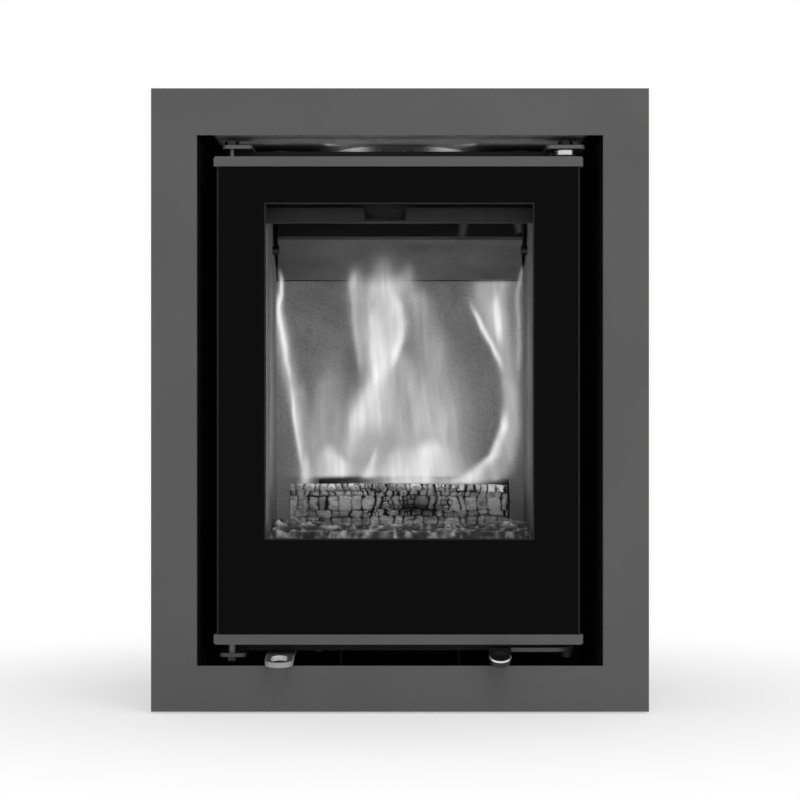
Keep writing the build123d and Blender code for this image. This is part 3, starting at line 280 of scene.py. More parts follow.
def headed_pin(name, level, head_from, head_to):
    """Turned pin with a blackened head or nut between two heights."""
    f = Finish(name)
    marks, smear = tool_marks(f)
    z = f.axis("Z")
    head = (z > head_from) * (z < head_to)
    tone = f.ramp(smear, (0.3, grey(level * 0.9)), (0.7, grey(level * 1.08)))
    return f.surface(Base_Color=f.mix(head, tone, BLACKED), Metallic=(1.0 - head) * 0.6,
                     Roughness=0.4 + (smear - 0.5) * 0.14, Normal=f.bump(marks, 0.02, 0.5))


def firebrick(name, level):
    """Pressed vermiculite: pale flakes in a granular board, soot in soft patches, hairline crazing."""
    f = Finish(name)
    flakes = f.cells(520.0)
    grain = f.noise(1100.0, 3.0)
    soot = f.noise(9.0, 5.0, 0.6, warp=0.4)
    crazing = f.cells(26.0, "DISTANCE_TO_EDGE", where=f.warped(0.03, 30.0, 5.0))
    tone = f.ramp(flakes + (grain - 0.5) * 0.5, (0.0, grey(level * 1.1)), (0.5, grey(level)),
                  (1.0, grey(level * 0.88)))
    tone = f.mix(soot.part(0.42, 0.75) * 0.5, tone, grey(level * 0.55))
    line = crazing.part(0.0, 0.02)
    tone = f.mix((1.0 - line) * 0.25, tone, grey(level * 0.5))
    relief = grain * 0.6 - flakes * 0.4 + line * 0.4
    return f.surface(Base_Color=tone, Roughness=0.93, Normal=f.bump(relief, 0.35, 0.5))


def rope(name, level):
    """Knitted glass-fibre rope: two slanted sine waves, multiplied, show as small crossing stitches."""
    f = Finish(name)
    x, y, z = f.axis("X"), f.axis("Y"), f.axis("Z")
    stitches = 2600.0                           # turns of the wave's angle, in radians to a metre
    one = f.add("ShaderNodeMath", {"operation": "SINE"}, {0: (x + z + y * 0.5) * stitches})
    two = f.add("ShaderNodeMath", {"operation": "SINE"}, {0: (x - z - y * 0.5) * stitches})
    knit = one * two
    tone = f.ramp(knit * 0.5 + 0.5, (0.1, grey(level * 0.55)), (0.8, grey(level * 1.15)))
    tone = f.mix(f.noise(40.0, 5.0).part(0.4, 0.75) * 0.4, tone, grey(level * 0.6))
    return f.surface(Base_Color=tone, Roughness=0.95, Normal=f.bump(knit, 0.6, 0.8))


def inside(f, x0, x1, z0, z1, soft):
    """1 within a rectangle in x and z, falling to 0 over a soft edge; a minimum of four slopes."""
    x, z = f.axis("X"), f.axis("Z")
    near = (x - x0).least(x1 - x).least((z - z0).least(z1 - z))
    return near.part(-soft / 2, soft / 2)


WINDOW = (-0.1354, 0.1340, 0.1753, 0.5127)      # clear part of the glass: x from and to, z from and to
PRINT_SOFT = 0.0006                             # softness of the print's edges
LINE_WIDE = 0.0014                              # frosted line round the window
BARE_SIDE = 0.0016                              # glass without print at its two sides


def printed_glass(name):
    """Ceramic glass: black enamel border, a clear window with a thin frosted line round it, a faint haze."""
    f = Finish(name)
    x0, x1, z0, z1 = WINDOW
    clear = inside(f, x0, x1, z0, z1, PRINT_SOFT)
    line = inside(f, x0 - LINE_WIDE, x1 + LINE_WIDE, z0 - LINE_WIDE, z1 + LINE_WIDE, PRINT_SOFT) - clear
    low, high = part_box("door_glass")
    past = 0.01                                 # the print runs over the lower and upper edges
    body = inside(f, low[0] + BARE_SIDE, high[0] - BARE_SIDE, low[2] - past, high[2] + past, PRINT_SOFT)
    smudge = f.noise(14.0, 6.0, 0.6)
    tone = f.mix(line * 0.9 + (1.0 - body) * 0.8, grey(3), grey(46))
    haze = smudge.part(0.5, 0.8) * 0.02 + 0.025
    return f.surface(Base_Color=tone, Roughness=0.07 + smudge.part(0.45, 0.8) * 0.06,
                     Alpha=1.0 - clear * (1.0 - haze), Specular_IOR_Level=0.05)


def char(name):
    """Charred wood: the mesh says how pale each spot is, from black cracks to silvery block tops."""
    f = Finish(name)
    block = f.add("ShaderNodeAttribute", {"attribute_name": "char"}, {}, "Fac")
    grain = f.noise(520.0, 4.0, where=f.stretched(0.25, 1.0, 1.0))
    ash = f.noise(36.0, 6.0, 0.65)
    tone = f.ramp(block * (0.62 + grain * 0.6), (0.0, grey(3)), (0.18, grey(30)), (0.46, grey(114)),
                  (1.0, grey(200)))
    tone = f.mix(ash.part(0.52, 0.75) * 0.4, tone, grey(30))
    return f.surface(Base_Color=tone, Roughness=0.72 + grain * 0.2, Normal=f.bump(grain, 0.5, 0.7))


def embers(name):
    """Ash and charcoal crumbs: the mesh says how pale each spot is, from black charcoal to white ash."""
    f = Finish(name)
    crumb = f.add("ShaderNodeAttribute", {"attribute_name": "char"}, {}, "Fac")
    grain = f.noise(700.0, 4.0, 0.7)
    tone = f.ramp(crumb * 0.85 + grain * 0.3, (0.1, grey(8)), (0.32, grey(68)), (0.58, grey(135)),
                  (0.95, grey(198)))
    return f.surface(Base_Color=tone, Roughness=0.95, Normal=f.bump(grain, 0.8, 0.8))


def flame(name):
    """Hot gas: light and cover both come with the mesh, thin at the edges and full in the cores."""
    f = Finish(name)
    heat = f.add("ShaderNodeAttribute", {"attribute_name": "warmth"}, {}, "Fac")
    tone = f.ramp(heat, (0.0, grey(150)), (0.35, grey(196)), (0.75, grey(240)), (1.0, grey(255)))
    return f.surface(Base_Color=grey(0), Roughness=1.0, Specular_IOR_Level=0.0, Alpha=heat,
                     Emission_Color=tone, Emission_Strength=1.0)


def sooted_board(name, level):
    """The same board as the bricks; what lies above its sloping underside is sooted, such as its front edge.
    A height above the underside is z - low z + slope * (y - high y)."""
    f = Finish(name)
    grain = f.noise(1100.0, 3.0)
    cloud = f.noise(11.0, 5.0, 0.6)
    low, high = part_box("baffle_board")
    slope = 0.4
    above = (f.axis("Z") - low[2]) + (f.axis("Y") - high[1]) * slope
    clean_to, soot_from = 0.0012, 0.0030        # heights above the underside
    underside = (above + (cloud - 0.5) * 0.0015).part(soot_from, clean_to)
    tone = f.ramp(cloud + (grain - 0.5) * 0.3, (0.3, grey(level * 0.8)), (0.7, grey(level * 1.1)))
    seam_from, seam_full = -0.0034, -0.0026     # depths from the back brick's face
    seam = (f.axis("Y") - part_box("back_brick")[0][1]).part(seam_from, seam_full)
    tone = f.mix(seam * 0.85, tone, grey(22))
    return f.surface(Base_Color=f.mix(underside, grey(38), tone), Roughness=0.93,
                     Normal=f.bump(grain, 0.4, 0.6))


SLOT_AT = 0.0195                                # middle of the tab's slot, from the tab's tip
SLOT_STRAIGHT = 0.00675                         # half of the slot's straight part
SLOT_PALE, SLOT_COATED = 0.0078, 0.0081         # bare-steel wear and painted highlight round the slot, from its middle line
NOSE_COATED, NOSE_PALE = 0.0005, 0.0002         # bare-steel wear and painted highlight round the nose, from its edge
TOP_COATED = 0.0013                             # coat left at the top of the nose's edge


def coat_worn_and_highlit(name, level, bare):
    """The frame's powder coat on a tab, worn to bare steel round its nose and in its slot, with a painted
    highlight
    on those edges: both are found by the distance in plan from the nose's middle and from the slot's middle
    line."""
    f = Finish(name)
    low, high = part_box("air_tab")
    half, middle = (high[0] - low[0]) / 2, (low[0] + high[0]) / 2
    x, y = f.axis("X") - middle, f.axis("Y") - low[1]
    beyond = (y - half).least(0.0)
    nose = ((x * x + beyond * beyond) ** 0.5).part(half - NOSE_COATED, half - NOSE_PALE)
    past = (abs(y - SLOT_AT) - SLOT_STRAIGHT).most(0.0)
    slot = ((x * x + past * past) ** 0.5).part(SLOT_COATED, SLOT_PALE)
    wear = f.noise(500.0, 3.0)
    cloud = f.noise(30.0, 4.0)
    coat = f.ramp(cloud, (0.3, grey(level * 0.94)), (0.7, grey(level * 1.06)))
    nose = nose * (f.axis("Z") < high[2] - TOP_COATED)
    # painted highlight: the nose's edge and the slot's walls are painted pale, partly worn steel and partly
    # their shine
    tone = f.mix(nose * (0.75 + wear * 0.2), coat, grey(bare))
    tone = f.mix(slot * (0.8 + wear * 0.2), tone, grey(bare * 1.3))
    return f.surface(Base_Color=tone, Roughness=0.42, Normal=f.bump(wear, 0.05, 0.5))


CEILING_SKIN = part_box("casing_top")[0][2] + 0.0008          # the ceiling carries a painted shade below this height,
CEILING_BARE = 0.184                                        # but not this near to the middle
UPPER_NUT_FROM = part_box("upper_hinge_plate")[1][2] - 0.0001     # the upper pin is black above this height
LOWER_HEAD_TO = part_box("lower_hinge_plate")[0][2] + 0.0001      # and the lower pin below this one
ABOVE_ALL = 2.0
BELOW_ALL = -1.0

# Looks by name: those of the part's material slots, and those that only some pieces have.
FINISHES = {
    "satin_grey": powder_coat("satin_grey_paint", 80),
    "black_paint": heat_paint("black_heat_paint", 30),
    "casing_black": heat_paint("casing_black_paint", 26, 0.75),
    "casing_steel": galvanised("galvanised_sheet", 178),
    "bright_steel": turned_steel("turned_steel", 205),
    "dark_steel": turned_steel("blackened_steel", 74, 0.4),
    "rope_grey": rope("knitted_rope", 84),
    "firebrick": firebrick("vermiculite_board", 162),
    "black_glass": printed_glass("printed_ceramic_glass"),
    "baffle": sooted_board("sooted_vermiculite", 124),
    # the casing top, with a painted shade in black on its underside towards both ends
    "ceiling": galvanised("galvanised_sheet_painted_shade", 190, CEILING_SKIN, CEILING_BARE),
    # the flue collar, with a painted highlight on both flanks
    "collar": collar_with_painted_highlight("collar_with_painted_highlight", 110, 235),
    # painted light: the frame's satin grey made paler for the upper hinge plate and the roller bracket
    "grey_with_painted_light": powder_coat("satin_grey_painted_light", 88),
    # painted shade: the same satin grey made darker for the latch lever and the lower hinge plate
    "grey_with_painted_shade": powder_coat("satin_grey_painted_shade", 58),
    "upper_pin": headed_pin("upper_pin_steel", 110, UPPER_NUT_FROM, ABOVE_ALL),
    "lower_pin": headed_pin("lower_pin_steel", 110, BELOW_ALL, LOWER_HEAD_TO),
    "nut_black": heat_paint("nut_blacking", 16),
    # the air tab's coat, with worn steel and a painted highlight on its edges
    "tab_coat": coat_worn_and_highlit("tab_coat_with_painted_highlight", 72, 170),
    "handle_black": heat_paint("handle_enamel", 11, 0.32),
    # painted shade: a near-black for the support rails, which lie in shade under the door
    "shade_black": heat_paint("rail_black_painted_shade", 7, 0.85),
    "bright_edge": turned_steel("polished_edge", 235, 0.3),
    "magnet": turned_steel("nickel_plate", 190, 0.18),
    "charred_wood": char("charred_wood"),
    "ash": embers("ash_and_embers"),
    "flame": flame("hot_gas"),
}
# Pieces whose look isn't that of their slot.
OWN_FINISH = {"casing_left": "casing_black", "casing_right": "casing_black", "casing_back": "casing_black",
              "casing_base": "casing_black", "firebox_front": "casing_black", "support_rails": "shade_black",
              "baffle_board": "baffle", "air_tab": "tab_coat", "latch_handle": "handle_black",
              "casing_top": "ceiling", "flue_collar": "collar", "upper_hinge_plate": "grey_with_painted_light",
              "lower_hinge_plate": "grey_with_painted_shade", "roller_bracket": "grey_with_painted_light", "latch_lever": "grey_with_painted_shade",
              "latch_keeper": "nut_black", "latch_spindle": "nut_black", "latch_hook": "nut_black",
              "arm_bolts": "nut_black", "roller_bolt": "nut_black", "upper_hinge_pin": "upper_pin",
              "lower_hinge_pin": "lower_pin"}

for part in frame["record"]["subparts"]:
    mesh = nodes[part["node"]].data
    mesh.materials.clear()
    mesh.materials.append(FINISHES[OWN_FINISH.get(part["node"], part["material_slot"])])


# ---- surfaces -----------------------------------------------------------------------------------
NOISE_A, NOISE_B = 97, 89                       # after so many steps the noise repeats


def value_noise(a, b, seed):
    """Smooth noise, 0 to 1: random heights at whole a and b, blended by the cubic 3t^2 - 2t^3."""
    heights = np.random.default_rng(seed).random((NOISE_A, NOISE_B))
    i, j = np.floor(a).astype(int), np.floor(b).astype(int)
    s, t = a - i, b - j
    s, t = s * s * (3 - 2 * s), t * t * (3 - 2 * t)
    h = [[heights[(i + p) % NOISE_A, (j + q) % NOISE_B] for q in (0, 1)] for p in (0, 1)]
    return (h[0][0] * (1 - s) + h[1][0] * s) * (1 - t) + (h[0][1] * (1 - s) + h[1][1] * s) * t


def layered(a, b, seed, layers=4):
    """Noise in layers, each twice as fine and half as strong as the last."""
    total, weight = 0.0, 0.0
    for k in range(layers):
        total = total + value_noise(a * 2 ** k + 13.7 * k, b * 2 ** k + 5.1 * k, seed + k) / 2 ** k
        weight += 1 / 2 ** k
    return total / weight


def lay_mesh(name, points, quads, body, finish, slot, **attributes):
    """A smooth mesh of these points and four-sided faces, with one number to a point for each attribute,
    riding on a body."""
    mesh = bpy.data.meshes.new(name)
    mesh.from_pydata(points.tolist(), [], quads.tolist())
    for key, values in attributes.items():
        mesh.attributes.new(key, "FLOAT", "POINT").data.foreach_set("value", values.astype(np.float32))
    mesh.polygons.foreach_set("use_smooth", np.full(len(mesh.polygons), True))
    mesh.materials.append(FINISHES[finish])
    mesh.update()
    piece = bpy.data.objects.new(name, mesh)
    bpy.context.collection.objects.link(piece)
    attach(piece, body)
    return piece


def grid_faces(rows, columns, around=False):
    """Four-sided faces of a grid of points counted row by row; around joins the last column to the first."""
    i = np.arange(rows - 1)[:, None]
    j = np.arange(columns if around else columns - 1)[None, :]
    k = (j + 1) % columns
    faces = np.stack([i * columns + j, i * columns + k, (i + 1) * columns + k, (i + 1) * columns + j], -1)
    return faces.reshape(-1, 4)


def rounded_section(count, outline, round_off):
    """Points round a closed outline, evenly spaced, its corners rounded by a moving average."""
    corners = np.array(outline + outline[:1], float)
    lengths = np.hypot(*np.diff(corners, axis=0).T)
    along = np.concatenate([[0], np.cumsum(lengths)])
    s = np.linspace(0, along[-1], count, endpoint=False)
    points = np.stack([np.interp(s, along, corners[:, k]) for k in (0, 1)], -1)
    window = max(1, int(round_off / along[-1] * count))
    kernel = np.ones(window) / window
    wrapped = np.concatenate([points, points, points])
    smooth = np.stack([np.convolve(wrapped[:, k], kernel, "same") for k in (0, 1)], -1)
    return smooth[count:2 * count], s


def char_blocks(s, t, pitch_s, pitch_t, seed):
    """Blocks of char in rows along the grain: row walls lie at jittered steps in t, and in each row the
    block walls lie at jittered steps in s of that row's own length. Gives the distance to the nearest row
    wall and block wall in metres, that block wall's own width and the block's own tone, both 0 to 1."""
    row_count, block_count = 67, 131
    dice = np.random.default_rng(seed).random((4, row_count, block_count))
    jitter_t, jitter_s = 0.55, 0.6              # shares of a step
    v, k = t / pitch_t, np.floor(t / pitch_t).astype(int)

    def row_edge(n):
        return n + jitter_t * (dice[0, n % row_count, 0] - 0.5)

    row = k - (v < row_edge(k)) + (v >= row_edge(k + 1))
    to_row = np.minimum(v - row_edge(row), row_edge(row + 1) - v) * pitch_t
    line = row % row_count
    length = pitch_s * (0.7 + 0.7 * dice[1, line, 0])
    u = s / length + 7 * dice[1, line, 1]
    i = np.floor(u).astype(int)

    def block_edge(n):
        return n + jitter_s * (dice[2, line, n % block_count] - 0.5)

    block = i - (u < block_edge(i)) + (u >= block_edge(i + 1))
    left, right = u - block_edge(block), block_edge(block + 1) - u
    wall = block + (right < left)
    width = dice[3, line, wall % block_count]
    tone = dice[0, line, (7 * block + 3) % block_count]
    return to_row, np.minimum(left, right) * length, width, tone


def crack_field(s, t, pitch_s, pitch_t, seed):
    """Depth of char cracks, 0 to 1, each block's own tone and how near its rounded edge is. A wall makes a
    crack exp(-(distance / width)^2), wider where it meets a row wall; noise bends the walls, lets row walls
    fade, and picks blocks that have finer ones inside."""
    fray, sway_s, sway_t = 2.4 * MM, 8.5 * MM, 6.0 * MM
    ragged = fray * (layered(s / 0.004, t / 0.004, seed + 2) - 0.5)
    bend_s = s + sway_s * (layered(s / 0.022, t / 0.014, seed) - 0.5) + ragged
    bend_t = t + sway_t * (layered(s / 0.026, t / 0.022, seed + 9) - 0.5) + ragged
    to_row, to_side, width, tone = char_blocks(bend_s, bend_t, pitch_s, pitch_t, seed)
    open_row = np.clip(layered(s / 0.03, t / 0.02, seed + 3) * 4 - 1.3, 0, 1)
    flare = 1 + 1.3 * np.exp(-(to_row / (2.2 * MM)) ** 2)
    crack = np.exp(-(to_side / ((0.3 + width ** 2) * flare * MM)) ** 2)
    crack = np.maximum(crack, open_row * np.exp(-(to_row / ((0.35 + 0.6 * open_row) * MM)) ** 2))
    fine_s, fine_t = pitch_s * 0.42, pitch_t * 0.4
    to_fine_row, to_fine_side, _, fine_tone = char_blocks(bend_s, bend_t, fine_s, fine_t, seed + 17)
    picked = np.clip(layered(s / 0.018, t / 0.014, seed + 23) * 6 - 2.9, 0, 1)
    fine_wide, edge_wide = 0.35 * MM, 1.6 * MM
    fine_crack = np.exp(-(np.minimum(to_fine_row, to_fine_side) / fine_wide) ** 2)
    pillow = np.exp(-np.minimum(to_side, to_row + (1 - open_row) * 6 * MM) / edge_wide)
    return np.maximum(crack, 0.8 * picked * fine_crack), 0.6 * tone + 0.4 * fine_tone, pillow


CRACK_DEEP = 0.0026                             # how far each of these pushes a log's skin in
EDGE_DEEP = 0.0013
WAVE_DEEP = 0.003
HOLLOW_DEEP = 0.004


def charred_log(name, node, outline, ends, seed, pitch, hollow, pale=1.0):
    """A split log along x: position = section(t) * taper(s) about the axis, pushed in by the crack field,
    which is strongest high up and fades in places, by slow noise and by a burnt hollow on the front: a bell
    with a middle and a spread along x, then a middle and a spread in height. Both ends are closed by rings
    that shrink to the middle of the section."""
    low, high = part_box(node)
    length, deep, tall = (high[k] - low[k] for k in range(3))
    step = 0.85 * MM
    girth = 1.75 * (deep + tall)                # about the way round the section
    around = int(girth / step)
    rounding = 7 * MM
    section, t = rounded_section(around, [(a * deep, b * tall) for a, b in outline], rounding)
    rows = int(length / step)
    cap = np.array([0.0, 0.3, 0.6, 0.85, 0.96])     # sizes of the rings that close an end
    share = np.concatenate([cap, np.ones(rows), cap[::-1]])
    dome = 0.002                                # how far an end bulges
    bulge = np.concatenate([-(1 - cap) * dome, np.zeros(rows), (1 - cap[::-1]) * dome])
    s = np.concatenate([np.zeros(len(cap)), np.linspace(0, 1, rows), np.ones(len(cap))])
    taper = np.interp(s, [0, 0.3, 0.7, 1], ends)
    middle = section.mean(0)
    grid_s, grid_t = np.meshgrid(s * length, t, indexing="ij")
    crack, tone, pillow = crack_field(grid_s, grid_t, *pitch, seed)
    wave = layered(grid_s / 0.05, grid_t / 0.04, seed + 20)
    up = section[None, :, 1] / tall
    burn = layered(grid_s / 0.03, grid_t / 0.022, seed + 50)
    deep_burn = np.clip(2.2 * burn - 0.7 + 0.6 * up, 0.4, 1) * np.clip(grid_s / 0.03, 0.5, 1)
    crack, pillow = crack * deep_burn, pillow * deep_burn
    radial = (section - middle)[None] * taper[:, None, None] * share[:, None, None]
    size = np.linalg.norm(radial, axis=-1, keepdims=True) + 1e-9
    along = np.exp(-((s[:, None] * length - hollow[0]) / hollow[1]) ** 2)
    hollow_and_shade = along * np.exp(-((section[None, :, 1] - hollow[2]) / hollow[3]) ** 2) * (section[None, :, 0] < 0)
    sink = CRACK_DEEP * crack + EDGE_DEEP * pillow + WAVE_DEEP * wave + HOLLOW_DEEP * hollow_and_shade
    sink = sink[..., None] * (share[:, None, None] > 0.9)
    radial = radial * (1 - sink / np.maximum(size, 0.006))
    x = low[0] + (s * length)[:, None] + bulge[:, None] * (1 + 0.8 * (wave - 0.5))
    y = (low[1] + high[1]) / 2 + middle[0] + radial[..., 0]
    z = low[2] + np.maximum(middle[1] * taper[:, None] + radial[..., 1], 0.0002)
    points = np.stack([np.broadcast_to(x, y.shape), y, z], -1).reshape(-1, 3)
    quads = grid_faces(len(s), around, True)
    soot = layered(grid_s / 0.06, grid_t / 0.03, seed + 31)
    # painted shade: each block is darker near its rounded edge and the front hollow darker still; the colour
    # also falls off towards the top
    colour = np.clip(1 - crack * 1.4, 0, 1) * (1 - 0.25 * pillow) * (0.5 + 0.7 * tone)
    colour = colour * (1.1 - 0.2 * up) * (0.5 + 0.85 * soot) * (1 - 0.7 * hollow_and_shade) * pale
    piece = lay_mesh(name, points, quads, "root", "charred_wood", "charred_wood",
                     char=np.clip(colour, 0, 1).ravel())
    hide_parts(node)


# Outline of a split log, as shares of its depth from the middle and of its height.
SPLIT = [(-0.46, 0.0), (0.44, 0.0), (0.5, 0.42), (0.36, 0.92), (-0.4, 1.0), (-0.5, 0.55)]
charred_log("charred_front_log", "front_log", SPLIT, (0.97, 1.0, 0.99, 0.96), 5, (10.5 * MM, 12.0 * MM),
            (0.134, 0.028, 0.016, 0.013))
# the rear log is the same char painted darker, to 0.22 of the front log's paleness, as painted shade
charred_log("charred_rear_log", "rear_log", SPLIT, (0.95, 1.0, 0.98, 0.93), 41, (12.0 * MM, 13.0 * MM),
            (0.10, 0.05, 0.03, 0.02), 0.22)


def ember_heap():
    """Ash over the floor and a ridge of charcoal in front: height = flat bed + ridge bell in depth + crumbs,
    where a crumb field is the sum of noise cells raised to a power; the edge drops to the bed's foot."""
    low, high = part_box("ember_bed")
    step = 1.25 * MM
    x = np.arange(low[0] + MM, high[0] - MM, step)
    y = np.arange(low[1] + MM, high[1] - MM, step)
    gx, gy = np.meshgrid(x, y, indexing="ij")
    d = gy - FRONT_Y
    ridge_at, ridge_spread = 0.084, 0.021       # depths behind the frame's face
    ridge = np.exp(-((d - ridge_at) / ridge_spread) ** 2)
    coarse = layered(gx / 0.022, gy / 0.018, 80, 3)
    lump = 1 - 2 * np.abs(value_noise(gx / 0.0085, gy / 0.0065, 70) - 0.5)
    crumb = 1 - 2 * np.abs(value_noise(gx / 0.0041 + 9, gy / 0.0036, 71) - 0.5)
    crumbs = 0.62 * lump ** 1.4 + 0.38 * crumb ** 1.2
    half_width = 0.125
    sides = np.clip(np.abs(gx) / half_width, 0, 1) ** 3
    near = 0.35 + 0.65 * ridge
    bed, middle_rise, side_rise, crumb_rise = 0.0035, 0.0022, 0.0085, 0.0085
    ridge_rise = (middle_rise + side_rise * sides) * ridge * (0.35 + 0.9 * coarse)
    lift = bed + ridge_rise + crumb_rise * crumbs * near
    rim = np.minimum(np.minimum(gx - x[0], x[-1] - gx), np.minimum(gy - y[0], y[-1] - gy))
    rim_wide = 0.004
    lift = lift * np.clip(rim / rim_wide, 0, 1)
    z = low[2] + 0.0003 + np.minimum(lift, high[2] - low[2] - 0.0005)
    top = np.stack([gx, gy, z], -1).reshape(-1, 3)
    base = top.copy()
    base[:, 2] = low[2]
    rows, columns = gx.shape
    quads = grid_faces(rows, columns)
    under = quads[:, ::-1] + len(top)
    edge = np.concatenate([np.arange(columns),
                           np.arange(1, rows) * columns + columns - 1,
                           (rows - 1) * columns + np.arange(columns - 2, -1, -1),
                           np.arange(rows - 2, 0, -1) * columns])
    after = np.roll(edge, -1)
    skirt = np.stack([edge, after, after + len(top), edge + len(top)], -1)
    ash = value_noise(gx / 0.005, gy / 0.004, 95)
    tone = np.clip(crumbs ** 1.6 * (0.25 + 1.25 * ash ** 1.5), 0, 1).ravel()
    faces = np.concatenate([quads[:, ::-1], under[:, ::-1], skirt])
    piece = lay_mesh("ember_heap", np.concatenate([top, base]), faces, "root", "ash", "ash",
                     char=np.concatenate([tone, tone]))
    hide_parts("ember_bed")


ember_heap()


def bead(name, line, radius, body, finish, slot):
    """A round bead along a line of points: ring of radius r in the plane across the line, r falling to 0 at
    both ends as the square root of the distance from the end."""
    line = np.array(line)
    along = np.gradient(line, axis=0)
    along /= np.linalg.norm(along, axis=1, keepdims=True)
    side = np.cross(along, [0.0, 0.0, 1.0])
    side /= np.linalg.norm(side, axis=1, keepdims=True)
    over = np.cross(side, along)
    count, tip = 12, 0.06                       # points to a ring; share of the line in which an end closes
    turn = np.linspace(0, 2 * np.pi, count, endpoint=False)[None, :, None]
    ends = np.linspace(0, 1, len(line))
    swell = radius * np.sqrt(np.clip(np.minimum(ends, 1 - ends) / tip, 1e-6, 1))[:, None, None]
    points = line[:, None] + swell * (np.cos(turn) * side[:, None] + np.sin(turn) * over[:, None])
    lay_mesh(name, points.reshape(-1, 3), grid_faces(len(line), count, True), body, finish, slot)


def handle_rim():
    """Bright worn rim on the handle's round end: just over half a circle in plan, on the sloping top."""
    low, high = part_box("latch_handle")
    r, middle = (high[0] - low[0]) / 2, (low[0] + high[0]) / 2
    half_turn = 97                              # degrees to either side of the tip
    turn = np.radians(np.linspace(-half_turn, half_turn, 90))
    rim, sunk = r - 0.0008, 0.0004              # the bead's line lies a little inside the edge and the top
    thick, run = 0.0055, 0.023                  # the handle's thickness, and the length of its slope
    y = low[1] + r - rim * np.cos(turn)
    fall = (high[2] - low[2] - thick) / run
    z = low[2] + thick + (y - low[1]) * fall - sunk
    line = np.stack([middle + rim * np.sin(turn), y, z], -1)
    bead_radius = 0.0012
    bead("handle_rim", line, bead_radius, "latch", "bright_edge", "bright_steel")


handle_rim()


# ---- flames -------------------------------------------------------------------------------------
# A tongue: how strong it is, how hard its edges are, then height, middle and half width at each step, in mm,
# and where it differs from the usual, the height over which it dies out.
FLAME_SIDE = 135                                # no flame reaches further out than this
LOW_START = 245                                 # a tongue that starts below this springs from the logs
QUICK_RISE, SLOW_RISE = 6.0, 30.0               # height over which a tongue fades in, low down and higher up
LEFT_TONGUES = [
    (0.62, 2.2, [(226, -98, 6), (262, -106, 6), (300, -112, 7), (345, -121, 9), (385, -128, 9),
                 (412, -132, 7), (445, -130, 4)]),
    (0.98, 2.0, [(322, -118, 1.5), (350, -121.5, 2.6), (380, -127, 3), (402, -131, 2.8), (416, -131.5, 2.4),
                 (430, -128.5, 2.4), (446, -129, 2.6), (462, -132, 2)]),
    (0.75, 2.0, [(226, -101, 3), (262, -108, 2.6), (300, -114.5, 2.2), (345, -120.5, 1.6)]),
    (0.35, 2.2, [(228, -88, 14), (262, -96, 11), (300, -102, 8), (345, -108, 4)]),
]
MIDDLE_TONGUES = [
    (0.46, 2.6, [(231, -34, 36), (262, -36, 34), (290, -33, 30), (312, -29, 22), (340, -24, 14)]),
    (0.72, 2.8, [(270, -36, 28), (300, -31, 27), (330, -24, 21), (350, -22, 20), (380, -22, 26),
                 (423, -23, 30), (440, -21, 30), (459, -19, 28)], 24.0),
    (0.985, 2.4, [(314, -22, 2), (335, -23, 6), (357, -25, 9), (380, -27, 9), (402, -27, 6), (422, -25, 4)]),
    (0.95, 2.2, [(338, -15, 3), (358, -8, 5), (378, -3, 6), (400, -1, 7), (420, -5, 6), (440, -10, 4)]),
    (0.5, 2.0, [(330, -42, 3), (365, -45, 5), (400, -49, 6), (440, -50, 6), (468, -46, 5)]),
    (0.6, 2.0, [(232, -62, 14), (262, -57, 11), (295, -46, 8), (322, -35, 6), (350, -27, 4)]),
    (0.24, 2.2, [(415, -44, 10), (445, -45, 9), (470, -43, 4)]),
    (0.34, 2.2, [(415, -20, 12), (455, -19, 9), (480, -18, 4)]),
    (0.3, 2.2, [(415, 4, 10), (448, 6, 9), (472, 10, 4)]),
    (0.22, 2.2, [(425, -18, 40), (455, -16, 34), (495, -16, 14)], 40.0),
]
RIGHT_TONGUES = [
    (0.56, 3.6, [(224, 88, 22), (237, 103, 20), (254, 113, 15), (286, 120, 12), (315, 122, 10),
                 (344, 118, 11), (369, 112, 15), (401, 104, 21), (423, 100, 25), (436, 100, 25),
                 (447, 103, 27)], 7.0),
    (0.98, 2.0, [(338, 112, 2), (356, 107, 3), (374, 99, 3.4), (393, 89, 3.4), (412, 81, 3),
                 (430, 76, 2.4)]),
    (0.85, 2.0, [(366, 110, 5), (388, 106, 6), (410, 104, 6), (438, 104, 4)]),
    (0.95, 2.2, [(224, 62, 18), (238, 84, 11), (256, 103, 7), (285, 114, 4), (310, 118, 3)]),
    (0.6, 2.0, [(330, 128, 3), (380, 128, 4), (430, 127, 4), (447, 130, 3), (464, 133, 2)], 12.0),
    (0.08, 2.0, [(470, 60, 4), (500, 67, 4), (545, 74, 3)]),
    (0.1, 2.0, [(470, 132, 4), (505, 127, 4), (550, 116, 4)]),
]
SKIRT_TONGUES = [
    (0.42, 3.0, [(228, -20, 84), (250, -18, 76), (286, -16, 58), (310, -15, 48), (330, -16, 38),
                 (352, -18, 26), (390, -20, 12)]),
    (0.5, 2.6, [(228, 38, 46), (270, 44, 42), (320, 44, 36), (360, 38, 28), (405, 24, 20), (450, 12, 12)]),
    (0.4, 2.4, [(228, 22, 38), (262, 26, 30), (300, 22, 22), (340, 12, 14), (380, 2, 8)]),
    (0.42, 2.2, [(228, -84, 30), (280, -82, 24), (330, -76, 17), (380, -70, 10)], 50.0),
    (0.28, 2.2, [(400, -20, 58), (425, -20, 52), (462, -22, 44)], 34.0),
]
